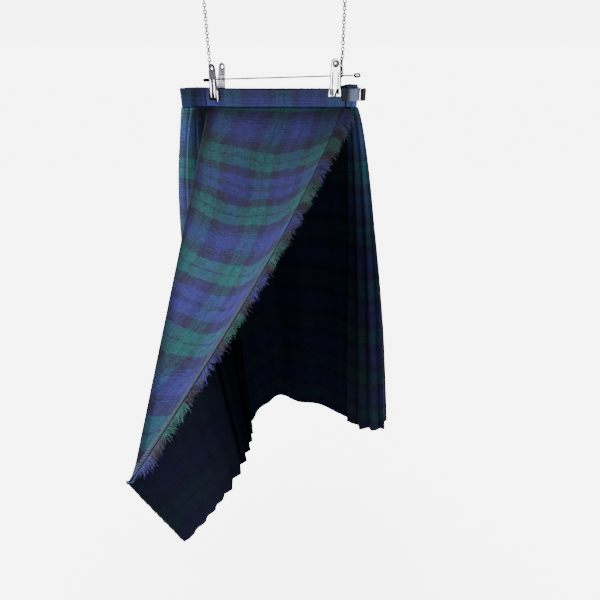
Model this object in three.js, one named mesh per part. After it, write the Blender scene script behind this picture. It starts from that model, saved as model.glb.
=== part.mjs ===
// Tartan wrap skirt on a clip hanger. Millimetres, +Z up, the wearer's front towards -Y.
// The origin is the point midway between the two chain hooks. Inside the group "skirt frame"
// X = 0 is the middle of the waistband, Y = 0 its front face and Z = 0 the waistband seam.
import * as THREE from "three";
import { mergeVertices } from "three/addons/utils/BufferGeometryUtils.js";

// ---------------------------------------------------------------- driving dimensions
const SKIRT_DROP = 762;                  // seam to hem, along the cloth
const CLOTH = 1.5;                       // cloth wall
const SEAM_GAP = 0.3;                    // between neighbouring pieces
const TOP_GAP = 1.1;                     // from the seam down to the middle of the cloth's top edge
const FALL_POWER = 1.15;                 // rows lie closer together near the waist

const BAND = { height: 28, wall: 2.6, sag: 1.6 };
const APRON = {
  lifted: 646,                           // free edge, seam to the lifted point
  lift: new THREE.Vector3(-0.341, -0.874, -0.345).normalize(),
  ridgeBack: -100,                       // X of the ridge once past the clip, and at its tip
  ridgeFront: -92,
  ridgeAway: 9,                          // how fast the ridge leaves the seam's left end
  ridgeRound: 6,
  roundStart: 14,                        // the ridge is round from 1/14 of the way out
  roundMost: 0.6,                        // largest part of the sheet's width that it takes
  roundLeast: 3,
  tipWidth: 5,                           // cloth left of the free edge at the lifted point
  sag: 32,                               // hollow of the lifted sheet
  sagBias: 0.75,
  edgeBow: 8,                            // the free edge bows out to the right, and sags
  edgeSag: 12,
  seamBlend: 0.08,                       // part of the way out over which it leaves the seam's line
  stations: 24,
  sheetColumns: 9,
  roundColumns: 3,
  hangColumns: 9,
};
// the part that hangs below the ridge: how far its hem leans to the right, and its pleats
const HANG = { leanBack: 36, leanFront: 32, leanMiddle: 15, belly: 10, backHem: 7, tipHem: 14, tipRise: 4 };
const OPENED = { pleats: 6, reach: 0.75, depth: 9, face: 2 / 3, grow: 1.4, start: 8 };

const PLEATS = {
  count: 18, columnsEach: 4, rows: 9, waistDepth: 2.2, hemDepth: 10, deepen: 1.6, back: 0.2, parted: 0.05, earlyPower: 6,
};
const UNDER = { columns: 22, rows: 9, foldDepth: 5, folds: 3.5, bandWall: 2.2, bandLower: 1 };
const BAND_COLUMNS = { front: 26, back: 56, under: 18, strap: 16, tail: 8 };

// plan of the pleated cloth, from the apron's left end round the back to the right front.
// flare is the power of the fall that spreads it, early the share that spreads near the waist
const PLEAT_PLAN = [
  { waistX: -104.2, waistY: 12.6, hemX: -69.5, hemY: 5.6, flare: 1.0, early: 0 },
  { waistX: -112, waistY: 14, hemX: -104, hemY: 2, flare: 1.0, early: 0.2 },
  { waistX: -122, waistY: 12, hemX: -140, hemY: 2, flare: 0.9, early: 0.6 },
  { waistX: -130, waistY: 2, hemX: -168, hemY: 10, flare: 0.8, early: 0.9 },
  { waistX: -140, waistY: -1, hemX: -184, hemY: 36, flare: 0.8, early: 1 },
  { waistX: -144, waistY: 9, hemX: -180, hemY: 80, flare: 0.8, early: 1 },
  { waistX: -138, waistY: 23, hemX: -158, hemY: 118, flare: 0.8, early: 0.6 },
  { waistX: -116, waistY: 30, hemX: -116, hemY: 145, flare: 0.8, early: 0.2 },
  { waistX: -80, waistY: 18, hemX: -66, hemY: 160, flare: 0.8, early: 0 },
  { waistX: -45, waistY: 13, hemX: -4, hemY: 168, flare: 0.8, early: 0 },
  { waistX: 20, waistY: 13, hemX: 74, hemY: 160, flare: 0.8, early: 0 },
  { waistX: 80, waistY: 13, hemX: 146, hemY: 140, flare: 0.8, early: 0 },
  { waistX: 116, waistY: 13, hemX: 210, hemY: 106, flare: 0.8, early: 0 },
  { waistX: 138, waistY: 15, hemX: 256, hemY: 62, flare: 0.76, early: 0 },
  { waistX: 149, waistY: 13, hemX: 272, hemY: 20, flare: 0.74, early: 0 },
  { waistX: 151, waistY: 8, hemX: 260, hemY: 2, flare: 0.74, early: 0 },
  { waistX: 146, waistY: 5, hemX: 232, hemY: 2, flare: 0.76, early: 0 },
  { waistX: 139, waistY: 6, hemX: 206, hemY: 10, flare: 0.8, early: 0 },
  { waistX: 133.5, waistY: 6.5, hemX: 180, hemY: 37, flare: 0.8, early: 0 },
];

// plan of the under-apron, from the right hip to its free edge at the left hip
const UNDER_PLAN = [
  { waistX: 132.8, waistY: 6.6, hemX: 176, hemY: 41, flare: 0.8, early: 0 },
  { waistX: 100, waistY: 6.6, hemX: 125, hemY: 76, flare: 0.8, early: 0 },
  { waistX: 55, waistY: 6.6, hemX: 58, hemY: 99, flare: 0.8, early: 0 },
  { waistX: 0, waistY: 6.6, hemX: 0, hemY: 118, flare: 0.8, early: 0 },
  { waistX: -50, waistY: 6.6, hemX: -38, hemY: 92, flare: 0.8, early: 0 },
  { waistX: -72, waistY: 9, hemX: -61, hemY: 46, flare: 0.9, early: 0 },
  { waistX: -88, waistY: 14.6, hemX: -76, hemY: 15, flare: 1.0, early: 0 },
];

// plan of the front waistband, from its free right end to the left
const FRONT_PLAN = [
  { x: 131, y: 0 }, { x: 60, y: 0 }, { x: -10, y: 0 }, { x: -54, y: 0 },
  { x: -72, y: 1.4 }, { x: -94, y: 9.4 }, { x: -102, y: 12 },
];

const FRINGE = {
  strip: 2.6, thick: 1.2, strands: 110, root: 1.8, first: 0.8, last: 0.4, length: 15, uneven: 3, droop: 0.3,
  tipGap: 1.4, tipReach: 8,
};
const STRAP = { wall: 2.2, bottom: 9.5, top: 28.5 };
// plans of the strap, from the band round the right hip, and of its tail
const STRAP_ROUTE = [
  { x: 124.5, y: -2.9 }, { x: 138, y: -2.9 }, { x: 149, y: -1.2 },
  { x: 154.6, y: 4.5 }, { x: 155.8, y: 12 }, { x: 154, y: 21 },
];
const TAIL_ROUTE = [{ x: 161.2, y: 0.5 }, { x: 163.8, y: 6 }, { x: 164.2, y: 12 }, { x: 162.2, y: 17.5 }];
const BUCKLE = { height: 24, width: 9, bar: 2.4, x: 157.2, y: 9, turn: 86 };
const ROD = {
  radius: 1.3,
  left: new THREE.Vector3(-96, 12, 41),
  right: new THREE.Vector3(143, 6.2, 47.6),
};
const LOOP = { length: 12, height: 5.6, bar: 1.5, deep: 2.4, clear: 0.1 };
const CLIP = {
  height: 56, head: 6.4, neck: 8, base: 10, footHeight: 9, footTaper: 0.4, neckHeight: 15, plate: 1.1, bottom: 14,
  hole: 3.2, lean: 0.1, spread: 2.4,
};
const SPRING = { shorter: 0.6, height: 12, bar: 2.4, deep: 8 };
const CLIPS = [
  { name: "left", x: -84, y: 12, half: 9.5, turn: -20, raise: -4 },
  { name: "right", x: 113, y: 7, half: 8.8, turn: 0, raise: 2 },
];
const CHAINS = [{ name: "left", x: -92 }, { name: "right", x: 124 }];
const CHAIN = { radius: 2.4, top: 166, clear: 0.2 };
const HOOK = { wire: 1.3, inner: 6.5, shank: 5, shankPart: 0.2, overhang: 0.2 };

// the rail that carries the hooks bears under their tops, midway between them: the origin
const HOLD = {
  x: (CHAINS[0].x + CHAINS[1].x) / 2 + HOOK.inner + HOOK.wire,
  y: (rodPoint(CHAINS[0].x).y + rodPoint(CHAINS[1].x).y) / 2,
  z: CHAIN.top + SEAM_GAP + HOOK.shank + HOOK.inner,
};

// ---------------------------------------------------------------- materials
const finish = (color, roughness, metalness) =>
  new THREE.MeshStandardMaterial({ color, roughness, metalness, side: THREE.DoubleSide });
const TARTAN = finish(0x2c3a5c, 0.9, 0);
const TARTAN_DARK = finish(0x1a2340, 0.92, 0);
const TARTAN_BAND = finish(0x33405f, 0.88, 0);
const FRINGE_YARN = finish(0x34425a, 0.95, 0);
const LEATHER = finish(0x23242a, 0.45, 0);
const CHROME = finish(0xd8dadd, 0.18, 1);
const RUBBER = finish(0x15161a, 0.7, 0);

// ---------------------------------------------------------------- mesh helpers
const skirt = new THREE.Group();
skirt.position.set(-HOLD.x, -HOLD.y, -HOLD.z);

const lerp = THREE.MathUtils.lerp;
const clamp01 = (value) => THREE.MathUtils.clamp(value, 0, 1);

function signedVolume(positions, index) {
  let volume = 0;
  const [a, b, c] = [new THREE.Vector3(), new THREE.Vector3(), new THREE.Vector3()];
  for (let i = 0; i < index.length; i += 3) {
    a.fromArray(positions, index[i] * 3);
    b.fromArray(positions, index[i + 1] * 3);
    c.fromArray(positions, index[i + 2] * 3);
    volume += a.dot(b.cross(c)) / 6;
  }
  return volume;
}

function closedGeometry(points, triangles) {
  const positions = points.flatMap((p) => [p.x, p.y, p.z]);
  const index = triangles.flat();
  if (signedVolume(positions, index) < 0) {
    for (let i = 0; i < index.length; i += 3) [index[i], index[i + 1]] = [index[i + 1], index[i]];
  }
  const geometry = new THREE.BufferGeometry();
  geometry.setAttribute("position", new THREE.Float32BufferAttribute(positions, 3));
  geometry.setIndex(index);
  return geometry;
}

// normals of a grid of points, from the differences between neighbours
function gridNormals(grid) {
  return grid.map((row, j) => row.map((point, i) => {
    const across = new THREE.Vector3().subVectors(row[Math.min(i + 1, row.length - 1)], row[Math.max(i - 1, 0)]);
    const up = grid[Math.max(j - 1, 0)][i];
    const down = grid[Math.min(j + 1, grid.length - 1)][i];
    return across.cross(new THREE.Vector3().subVectors(down, up)).normalize();
  }));
}

// a closed cloth wall on a grid of rows and columns
function wall(grid, thickness) {
  const normals = gridNormals(grid);
  const rows = grid.length;
  const columns = grid[0].length;
  const points = [];
  for (const side of [0.5, -0.5]) {
    grid.forEach((row, j) => row.forEach((point, i) => {
      points.push(point.clone().addScaledVector(normals[j][i], side * thickness));
    }));
  }
  const at = (side, j, i) => side * rows * columns + j * columns + i;
  const triangles = [];
  const quad = (a, b, c, d) => triangles.push([a, b, c], [a, c, d]);
  for (let j = 0; j + 1 < rows; j++) {
    for (let i = 0; i + 1 < columns; i++) {
      quad(at(0, j, i), at(0, j + 1, i), at(0, j + 1, i + 1), at(0, j, i + 1));
      quad(at(1, j, i), at(1, j, i + 1), at(1, j + 1, i + 1), at(1, j + 1, i));
    }
    quad(at(0, j, 0), at(1, j, 0), at(1, j + 1, 0), at(0, j + 1, 0));
    const last = columns - 1;
    quad(at(0, j, last), at(0, j + 1, last), at(1, j + 1, last), at(1, j, last));
  }
  for (let i = 0; i + 1 < columns; i++) {
    quad(at(0, 0, i), at(0, 0, i + 1), at(1, 0, i + 1), at(1, 0, i));
    const low = rows - 1;
    quad(at(0, low, i), at(1, low, i), at(1, low, i + 1), at(0, low, i + 1));
  }
  return closedGeometry(points, triangles);
}

function addPiece(name, geometry, material, place) {
  const bare = geometry.clone();
  bare.deleteAttribute("normal");
  bare.deleteAttribute("uv");
  const mesh = new THREE.Mesh(mergeVertices(bare, 1e-4), material);
  mesh.name = name;
  if (place) place(mesh);
  skirt.add(mesh);
  return mesh;
}

// ---------------------------------------------------------------- over-apron
function planCurve(plan) {
  return new THREE.CatmullRomCurve3(plan.map(({ x, y }) => new THREE.Vector3(x, y, 0)));
}

const frontCurve = planCurve(FRONT_PLAN);

// the seam point of a warp thread; across runs from 0 at the free edge to 1 at the left end
function seamPoint(across) {
  return frontCurve.getPointAt(clamp01(across));
}

// the straight line from the seam to the lifted point; station runs from 0 to 1
function liftLine(station) {
  return seamPoint(0).addScaledVector(APRON.lift, APRON.lifted * station);
}

function freeEdge(station) {
  const bow = Math.sin(Math.PI * station);
  return liftLine(station).add(new THREE.Vector3(APRON.edgeBow * bow, 0, -APRON.edgeSag * bow));
}

// the ridge starts at the seam's left end and runs forward beside the free edge
function ridge(station) {
  const edge = liftLine(station);
  const start = seamPoint(1);
  const away = 1 - Math.exp(-station * APRON.ridgeAway);
  return new THREE.Vector3(
    Math.min(lerp(start.x, lerp(APRON.ridgeBack, APRON.ridgeFront, station), away), edge.x - APRON.tipWidth),
    edge.y + start.y * (1 - away),
    edge.z,
  );
}

function openedPleat(station) {
  if (station >= OPENED.reach) return 0;
  const phase = (station / OPENED.reach) * OPENED.pleats + 1e-6;
  const part = phase - Math.floor(phase);
  const { face } = OPENED;
  return part < face ? part / face - 0.5 : 0.5 - (part - face) / (1 - face);
}

// the hem below a station of the ridge
function hemPoint(station) {
  const top = ridge(station);
  const lean = lerp(HANG.leanBack, HANG.leanFront, station) + HANG.leanMiddle * Math.sin(Math.PI * station);
  const drop = SKIRT_DROP - APRON.lifted * station;
  const y = top.y + lerp(-HANG.backHem, HANG.tipHem, station);
  const low = HANG.tipRise * station - HANG.belly * Math.sin(Math.PI * station * station);
  return new THREE.Vector3(top.x + lean, y, top.z - drop + low);
}

// a point of the sheet between the free edge and the ridge: inward runs from 0 to 1
function sheetPoint(station, inward) {
  const point = freeEdge(station).lerp(ridge(station), inward);
  if (station < APRON.seamBlend) point.lerp(seamPoint(inward), 1 - station / APRON.seamBlend);
  const width = Math.sin(Math.PI * inward);
  point.z -= TOP_GAP + APRON.sag * width * Math.sin(Math.PI * station ** APRON.sagBias);
  return point;
}

// a point of the part that hangs from the ridge: fall runs from 0 to 1 at the hem
function hangingPoint(station, fall) {
  const point = ridge(station).lerp(hemPoint(station), fall);
  point.x += OPENED.depth * openedPleat(station) * clamp01(fall * OPENED.grow) * clamp01(station * OPENED.start);
  point.z -= TOP_GAP * (1 - fall);
  return point;
}

// one section of the apron: across the sheet, round the ridge and down to the hem
function apronSection(station) {
  const row = [];
  const corner = ridge(station);
  corner.z -= TOP_GAP;
  const width = freeEdge(station).distanceTo(ridge(station));
  const drop = ridge(station).distanceTo(hemPoint(station));
  const round = Math.min(APRON.ridgeRound * clamp01(station * APRON.roundStart), width * APRON.roundMost);
  const before = 1 - round / width;
  const after = Math.max(round, APRON.roundLeast) / drop;
  for (let i = 0; i <= APRON.sheetColumns; i++) row.push(sheetPoint(station, (before * i) / APRON.sheetColumns));
  const start = row[row.length - 1].clone();
  const end = hangingPoint(station, after);
  for (let i = 1; i < APRON.roundColumns; i++) {
    const t = i / APRON.roundColumns;
    const bend = start.clone().multiplyScalar((1 - t) ** 2);
    row.push(bend.addScaledVector(corner, 2 * t * (1 - t)).addScaledVector(end, t * t));
  }
  for (let i = 0; i <= APRON.hangColumns; i++) {
    row.push(hangingPoint(station, lerp(after, 1, i / APRON.hangColumns)));
  }
  return row;
}

function overApron() {
  const grid = [];
  for (let k = 0; k <= APRON.stations; k++) grid.push(apronSection(k / APRON.stations));
  return wall(grid, CLOTH);
}

// the free edge by its length from the seam, with the cloth just inside it
function edgePoint(length) {
  const station = length / APRON.lifted;
  if (station <= 1) return { here: sheetPoint(station, 0), inward: sheetPoint(station, 0.05) };
  const fall = (length - APRON.lifted) / (SKIRT_DROP - APRON.lifted);
  return { here: hangingPoint(1, fall), inward: hangingPoint(0.97, fall) };
}

// ---------------------------------------------------------------- fringe of the free edge
function fringe() {
  const slots = FRINGE.strands;
  const points = [];
  const triangles = [];
  const quad = (a, b, c, d) => triangles.push([a, b, c], [a, c, d]);
  const stations = [];
  const pitch = SKIRT_DROP / slots;
  for (let k = 0; k < slots; k++) {
    const start = k * pitch + FRINGE.first;
    stations.push({ drop: start, tooth: true, k });
    stations.push({ drop: start + FRINGE.root, tooth: false, k });
  }
  stations.push({ drop: SKIRT_DROP - FRINGE.last, tooth: false, k: slots });
  const frameAt = (drop) => {
    const { here, inward } = edgePoint(drop);
    const along = edgePoint(Math.min(drop + 3, SKIRT_DROP)).here;
    along.sub(edgePoint(Math.max(drop - 3, 0)).here).normalize();
    inward.sub(here).normalize();
    const face = new THREE.Vector3().crossVectors(along, inward).normalize();
    const out = new THREE.Vector3().crossVectors(along, face).normalize();
    if (out.dot(inward) > 0) out.negate();
    return { here, out, face };
  };
  for (const station of stations) {
    const { here, out, face } = frameAt(station.drop);
    const gap = SEAM_GAP + FRINGE.tipGap * Math.exp(-(((station.drop - APRON.lifted) / FRINGE.tipReach) ** 2));
    const inner = here.clone().addScaledVector(out, gap);
    const outer = here.clone().addScaledVector(out, gap + FRINGE.strip);
    for (const [base, side] of [[inner, 0.5], [outer, 0.5], [outer, -0.5], [inner, -0.5]]) {
      points.push(base.clone().addScaledVector(face, side * FRINGE.thick));
    }
  }
  for (let k = 0; k + 1 < stations.length; k++) {
    const a = k * 4;
    const b = a + 4;
    quad(a, a + 1, b + 1, b);
    quad(a + 2, a + 3, b + 3, b + 2);
    quad(a + 3, a, b, b + 3);
    if (!stations[k].tooth) {
      quad(a + 1, a + 2, b + 2, b + 1);
      continue;
    }
    const { here, out } = frameAt(stations[k].drop + FRINGE.root / 2);
    const number = stations[k].k;
    const long = FRINGE.length + FRINGE.uneven * Math.sin(number * 2.4) * Math.cos(number * 0.7);
    const tip = here.addScaledVector(out, long);
    tip.z -= long * FRINGE.droop * (0.8 + 0.3 * Math.sin(number * 1.7));
    points.push(tip);
    const top = points.length - 1;
    triangles.push([a + 1, a + 2, top], [a + 2, b + 2, top], [b + 2, b + 1, top], [b + 1, a + 1, top]);
  }
  quad(0, 3, 2, 1);
  const end = (stations.length - 1) * 4;
  quad(end, end + 1, end + 2, end + 3);
  return closedGeometry(points, triangles);
}

// ---------------------------------------------------------------- pleated back and under-apron
function planCurves(plan) {
  return { waist: waistCurve(plan), hem: planCurve(plan.map((row) => ({ x: row.hemX, y: row.hemY }))), plan };
}

// a point of a hanging wall: along runs round the plan, fall from 0 at the seam to 1 at the hem
function hangPoint(curves, along, fall) {
  const place = clamp01(along);
  const steps = curves.plan.length - 1;
  const k = Math.min(Math.floor(place * steps), steps - 1);
  const between = (column) => lerp(curves.plan[k][column], curves.plan[k + 1][column], place * steps - k);
  const spread = lerp(fall ** between("flare"), 1 - (1 - fall) ** PLEATS.earlyPower, between("early"));
  const waist = curves.waist.getPoint(place);
  const hem = curves.hem.getPoint(place);
  const point = waist.lerp(hem, spread);
  point.z = -TOP_GAP - (SKIRT_DROP - TOP_GAP) * fall;
  return point;
}

function outward(curves, along, fall) {
  const step = 0.004;
  const ahead = hangPoint(curves, Math.min(along + step, 1), fall);
  const behind = hangPoint(curves, Math.max(along - step, 0), fall);
  const run = ahead.sub(behind);
  return new THREE.Vector3(-run.y, run.x, 0).normalize();
}

// knife pleats: each face runs out to its fold, and a short return goes back in
function pleatStations() {
  const stations = [];
  const faceSteps = PLEATS.columnsEach - 1;
  for (let k = 0; k < PLEATS.count; k++) {
    for (let i = 0; i <= faceSteps; i++) {
      const part = (i / faceSteps) * (1 - PLEATS.back);
      stations.push({ along: (k + part) / PLEATS.count, out: i / faceSteps });
    }
  }
  stations.push({ along: 1, out: 0 });
  return stations;
}

// the three sewn lengths of the pleated cloth, parted in the middle of a pleat's face
function pleatedSection(first, last) {
  const curves = planCurves(PLEAT_PLAN);
  const all = pleatStations();
  const from = first === 0 ? 0 : first * PLEATS.columnsEach + 1;
  const to = last === PLEATS.count ? all.length - 1 : last * PLEATS.columnsEach + 1;
  const stations = all.slice(from, to + 1).map((station) => ({ ...station }));
  const part = (end, next) => {
    end.along = lerp(end.along, next.along, PLEATS.parted);
    end.out = lerp(end.out, next.out, PLEATS.parted);
  };
  if (from > 0) part(stations[0], stations[1]);
  if (to < all.length - 1) part(stations[stations.length - 1], stations[stations.length - 2]);
  const grid = [];
  for (let j = 0; j <= PLEATS.rows; j++) {
    const fall = (j / PLEATS.rows) ** FALL_POWER;
    const depth = lerp(PLEATS.waistDepth, PLEATS.hemDepth, clamp01(fall * PLEATS.deepen));
    grid.push(stations.map((station) => {
      const point = hangPoint(curves, station.along, fall);
      return point.addScaledVector(outward(curves, station.along, fall), depth * station.out);
    }));
  }
  return wall(grid, CLOTH);
}

function underApron() {
  const curves = planCurves(UNDER_PLAN);
  const grid = [];
  for (let j = 0; j <= UNDER.rows; j++) {
    const fall = (j / UNDER.rows) ** FALL_POWER;
    const row = [];
    for (let i = 0; i <= UNDER.columns; i++) {
      const along = i / UNDER.columns;
      const ease = Math.sin(Math.PI * along);
      const wave = UNDER.foldDepth * fall * ease * Math.sin(2 * Math.PI * UNDER.folds * along);
      row.push(hangPoint(curves, along, fall).addScaledVector(outward(curves, along, fall), wave));
    }
    grid.push(row);
  }
  return wall(grid, CLOTH);
}

// ---------------------------------------------------------------- waistband, strap and buckle
function bandWall(curve, columns, options) {
  const { bottom, top, thickness, sag = 0 } = options;
  const grid = [top, bottom].map((z) => {
    const row = [];
    for (let i = 0; i <= columns; i++) {
      const part = i / columns;
      const point = curve.getPointAt(part);
      point.z = z - (z === top ? sag * Math.sin(Math.PI * part) : 0);
      row.push(point);
    }
    return row;
  });
  return wall(grid, thickness);
}

const waistCurve = (plan) => planCurve(plan.map((row) => ({ x: row.waistX, y: row.waistY })));

function waistband() {
  const size = { bottom: 0, top: BAND.height, thickness: BAND.wall };
  addPiece("waistband_front", bandWall(frontCurve, BAND_COLUMNS.front, { ...size, sag: BAND.sag }), TARTAN_BAND);
  addPiece("waistband_back", bandWall(waistCurve(PLEAT_PLAN), BAND_COLUMNS.back, size), TARTAN_BAND);
  const under = { ...size, top: BAND.height - UNDER.bandLower, thickness: UNDER.bandWall };
  addPiece("waistband_under", bandWall(waistCurve(UNDER_PLAN), BAND_COLUMNS.under, under), TARTAN_DARK);
}

function buckleFrame() {
  const outline = new THREE.Shape();
  const [w, h] = [BUCKLE.width / 2, BUCKLE.height / 2];
  outline.moveTo(-w, -h).lineTo(w, -h).lineTo(w, h).lineTo(-w, h).closePath();
  const inside = new THREE.Path();
  const [iw, ih] = [w - BUCKLE.bar, h - BUCKLE.bar];
  inside.moveTo(-iw, -ih).lineTo(-iw, ih).lineTo(iw, ih).lineTo(iw, -ih).closePath();
  outline.holes.push(inside);
  return new THREE.ExtrudeGeometry(outline, { depth: BUCKLE.bar, bevelEnabled: false });
}

function strapAndBuckle() {
  const size = { bottom: STRAP.bottom, top: STRAP.top, thickness: STRAP.wall };
  addPiece("hip_strap", bandWall(planCurve(STRAP_ROUTE), BAND_COLUMNS.strap, size), LEATHER);
  addPiece("strap_tail", bandWall(planCurve(TAIL_ROUTE), BAND_COLUMNS.tail, size), LEATHER);
  addPiece("buckle_frame", buckleFrame(), CHROME, (mesh) => {
    mesh.rotation.set(Math.PI / 2, 0, THREE.MathUtils.degToRad(BUCKLE.turn), "ZXY");
    mesh.position.set(BUCKLE.x, BUCKLE.y, (STRAP.bottom + STRAP.top) / 2);
  });
}

// ---------------------------------------------------------------- clip hanger
function rodPoint(x) {
  return ROD.left.clone().lerp(ROD.right, (x - ROD.left.x) / (ROD.right.x - ROD.left.x));
}

function rodAndLoops() {
  const run = new THREE.Vector3().subVectors(ROD.right, ROD.left);
  const rod = new THREE.CylinderGeometry(ROD.radius, ROD.radius, run.length(), 8);
  addPiece("hanger_rod", rod, CHROME, (mesh) => {
    mesh.quaternion.setFromUnitVectors(new THREE.Vector3(0, 1, 0), run.clone().normalize());
    mesh.position.copy(ROD.left).lerp(ROD.right, 0.5);
  });
  const reach = LOOP.length / 2 + SEAM_GAP + LOOP.clear;
  for (const [side, end, sign, roll] of [["left", ROD.left, -1, 62], ["right", ROD.right, 1, 0]]) {
    addPiece(`rod_loop_${side}`, stadiumRing(LOOP), RUBBER, (mesh) => {
      mesh.rotation.set(Math.PI / 2 + THREE.MathUtils.degToRad(roll), 0, 0);
      mesh.position.set(end.x + sign * reach, end.y, end.z);
    });
  }
}

function stadiumRing({ length, height, bar, deep }) {
  const stadium = (target, l, h) => {
    const r = h / 2;
    const run = l / 2 - r;
    target.absarc(run, 0, r, -Math.PI / 2, Math.PI / 2, false);
    target.absarc(-run, 0, r, Math.PI / 2, (3 * Math.PI) / 2, false);
    return target;
  };
  const outline = stadium(new THREE.Shape(), length, height);
  outline.holes.push(stadium(new THREE.Path(), length - 2 * bar, height - 2 * bar));
  const ring = new THREE.ExtrudeGeometry(outline, { depth: deep, bevelEnabled: false, curveSegments: 5 });
  ring.translate(0, 0, -deep / 2);
  return ring;
}

// one jaw: a round head with a hole, a narrow neck and a wide foot
function jawPlate() {
  const top = CLIP.height - CLIP.head;
  const outline = new THREE.Shape();
  const foot = CLIP.base - CLIP.footTaper;
  outline.moveTo(-CLIP.base, 0).lineTo(CLIP.base, 0).lineTo(foot, CLIP.footHeight).lineTo(CLIP.neck, CLIP.neckHeight);
  outline.lineTo(CLIP.head, top);
  outline.absarc(0, top, CLIP.head, 0, Math.PI, false);
  outline.lineTo(-CLIP.neck, CLIP.neckHeight).lineTo(-foot, CLIP.footHeight).closePath();
  const hole = new THREE.Path();
  hole.absarc(0, top, CLIP.hole, 0, 2 * Math.PI, true);
  outline.holes.push(hole);
  return new THREE.ExtrudeGeometry(outline, { depth: CLIP.plate, bevelEnabled: false, curveSegments: 6 });
}

function clip(spec) {
  const turn = THREE.MathUtils.degToRad(spec.turn);
  const across = new THREE.Vector3(-Math.sin(turn), Math.cos(turn), 0);
  for (const [side, sign] of [["front", -1], ["back", 1]]) {
    addPiece(`clip_${spec.name}_${side}_jaw`, jawPlate(), CHROME, (mesh) => {
      mesh.rotation.set(Math.PI / 2 - sign * CLIP.lean, 0, turn, "ZXY");
      const offset = sign * spec.half + (sign > 0 ? CLIP.plate : 0);
      mesh.position.set(spec.x, spec.y, CLIP.bottom + spec.raise).addScaledVector(across, offset);
    });
  }
  const ring = stadiumRing({ ...SPRING, length: 2 * (spec.half + CLIP.spread) - SPRING.shorter });
  addPiece(`clip_${spec.name}_spring`, ring, CHROME, (mesh) => {
    const along = new THREE.Vector3(Math.cos(turn), Math.sin(turn), 0);
    const basis = new THREE.Matrix4().makeBasis(across, new THREE.Vector3(0, 0, 1), along);
    mesh.quaternion.setFromRotationMatrix(basis);
    mesh.position.set(spec.x, spec.y, rodPoint(spec.x).z);
  });
}

// a plain hook: a straight shank that turns over in a round of more than half a circle
class HookPath extends THREE.Curve {
  getPoint(t, target = new THREE.Vector3()) {
    const radius = HOOK.inner + HOOK.wire;
    const straight = HOOK.shankPart;
    const foot = CHAIN.top + SEAM_GAP;
    if (t < straight) return target.set(0, 0, foot + (t / straight) * HOOK.shank);
    const angle = Math.PI * (1 - ((t - straight) / (1 - straight)) * (1 + HOOK.overhang));
    return target.set(radius + radius * Math.cos(angle), 0, foot + HOOK.shank + radius * Math.sin(angle));
  }
}

function chainAndHook(spec) {
  const rod = rodPoint(spec.x);
  const bottom = rod.z + ROD.radius + SEAM_GAP + CHAIN.clear;
  const run = new THREE.CylinderGeometry(CHAIN.radius, CHAIN.radius, CHAIN.top - bottom, 6);
  addPiece(`chain_${spec.name}`, run, CHROME, (mesh) => {
    mesh.rotation.set(Math.PI / 2, 0, 0);
    mesh.position.set(spec.x, rod.y, (CHAIN.top + bottom) / 2);
  });
  const section = new THREE.Shape();
  section.absarc(0, 0, HOOK.wire, 0, 2 * Math.PI, false);
  const hook = new THREE.ExtrudeGeometry(section, { extrudePath: new HookPath(), steps: 16, curveSegments: 3 });
  addPiece(`hook_${spec.name}`, hook, CHROME, (mesh) => mesh.position.set(spec.x, rod.y, 0));
}

// ---------------------------------------------------------------- the whole part
addPiece("over_apron", overApron(), TARTAN);
addPiece("apron_fringe", fringe(), FRINGE_YARN);
addPiece("pleated_left", pleatedSection(0, 6), TARTAN);
addPiece("pleated_back", pleatedSection(6, 12), TARTAN);
addPiece("pleated_right", pleatedSection(12, PLEATS.count), TARTAN);
addPiece("under_apron", underApron(), TARTAN_DARK);
waistband();
strapAndBuckle();
rodAndLoops();
CLIPS.forEach(clip);
CHAINS.forEach(chainAndHook);

const group = new THREE.Group();
group.add(skirt);
export default group;
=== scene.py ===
"""Tartan wrap skirt on a clip hanger, its fringed over-apron lifted forward and held."""

import logging
import math
from dataclasses import dataclass, field
from enum import Enum, IntEnum

import bpy
import numpy as np
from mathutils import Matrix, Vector


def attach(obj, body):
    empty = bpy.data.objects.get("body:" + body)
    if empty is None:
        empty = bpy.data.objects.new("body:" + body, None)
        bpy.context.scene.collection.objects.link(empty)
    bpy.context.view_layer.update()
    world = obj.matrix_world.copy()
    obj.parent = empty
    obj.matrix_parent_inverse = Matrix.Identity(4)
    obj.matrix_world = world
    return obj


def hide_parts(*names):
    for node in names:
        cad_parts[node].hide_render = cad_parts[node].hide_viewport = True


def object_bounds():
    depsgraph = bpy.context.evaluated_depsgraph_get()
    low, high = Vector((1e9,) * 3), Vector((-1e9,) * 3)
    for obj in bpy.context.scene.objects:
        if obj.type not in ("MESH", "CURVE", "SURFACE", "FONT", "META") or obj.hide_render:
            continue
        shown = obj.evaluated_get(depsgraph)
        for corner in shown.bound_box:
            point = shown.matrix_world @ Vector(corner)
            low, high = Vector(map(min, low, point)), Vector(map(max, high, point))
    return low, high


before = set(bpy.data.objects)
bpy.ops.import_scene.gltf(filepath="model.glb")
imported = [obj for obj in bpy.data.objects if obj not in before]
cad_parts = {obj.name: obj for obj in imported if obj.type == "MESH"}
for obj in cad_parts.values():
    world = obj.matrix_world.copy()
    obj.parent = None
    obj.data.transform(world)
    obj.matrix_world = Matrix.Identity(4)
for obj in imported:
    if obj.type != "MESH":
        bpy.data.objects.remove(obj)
CAD_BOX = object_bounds()

LOG = logging.getLogger("skirt")

Number = np.ndarray | float
Face = tuple[int, ...]
Mesh = tuple[np.ndarray, list[Face]]
Point = tuple[float, float, float]
Colour = tuple[int, int, int]
Piece = bpy.types.Object
Material = bpy.types.Material
Socket = bpy.types.NodeSocket

MM = 0.001
SKIRT_DROP = 762.0
TOP_GAP = 1.1
CLOTH_WALL = 1.2

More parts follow.
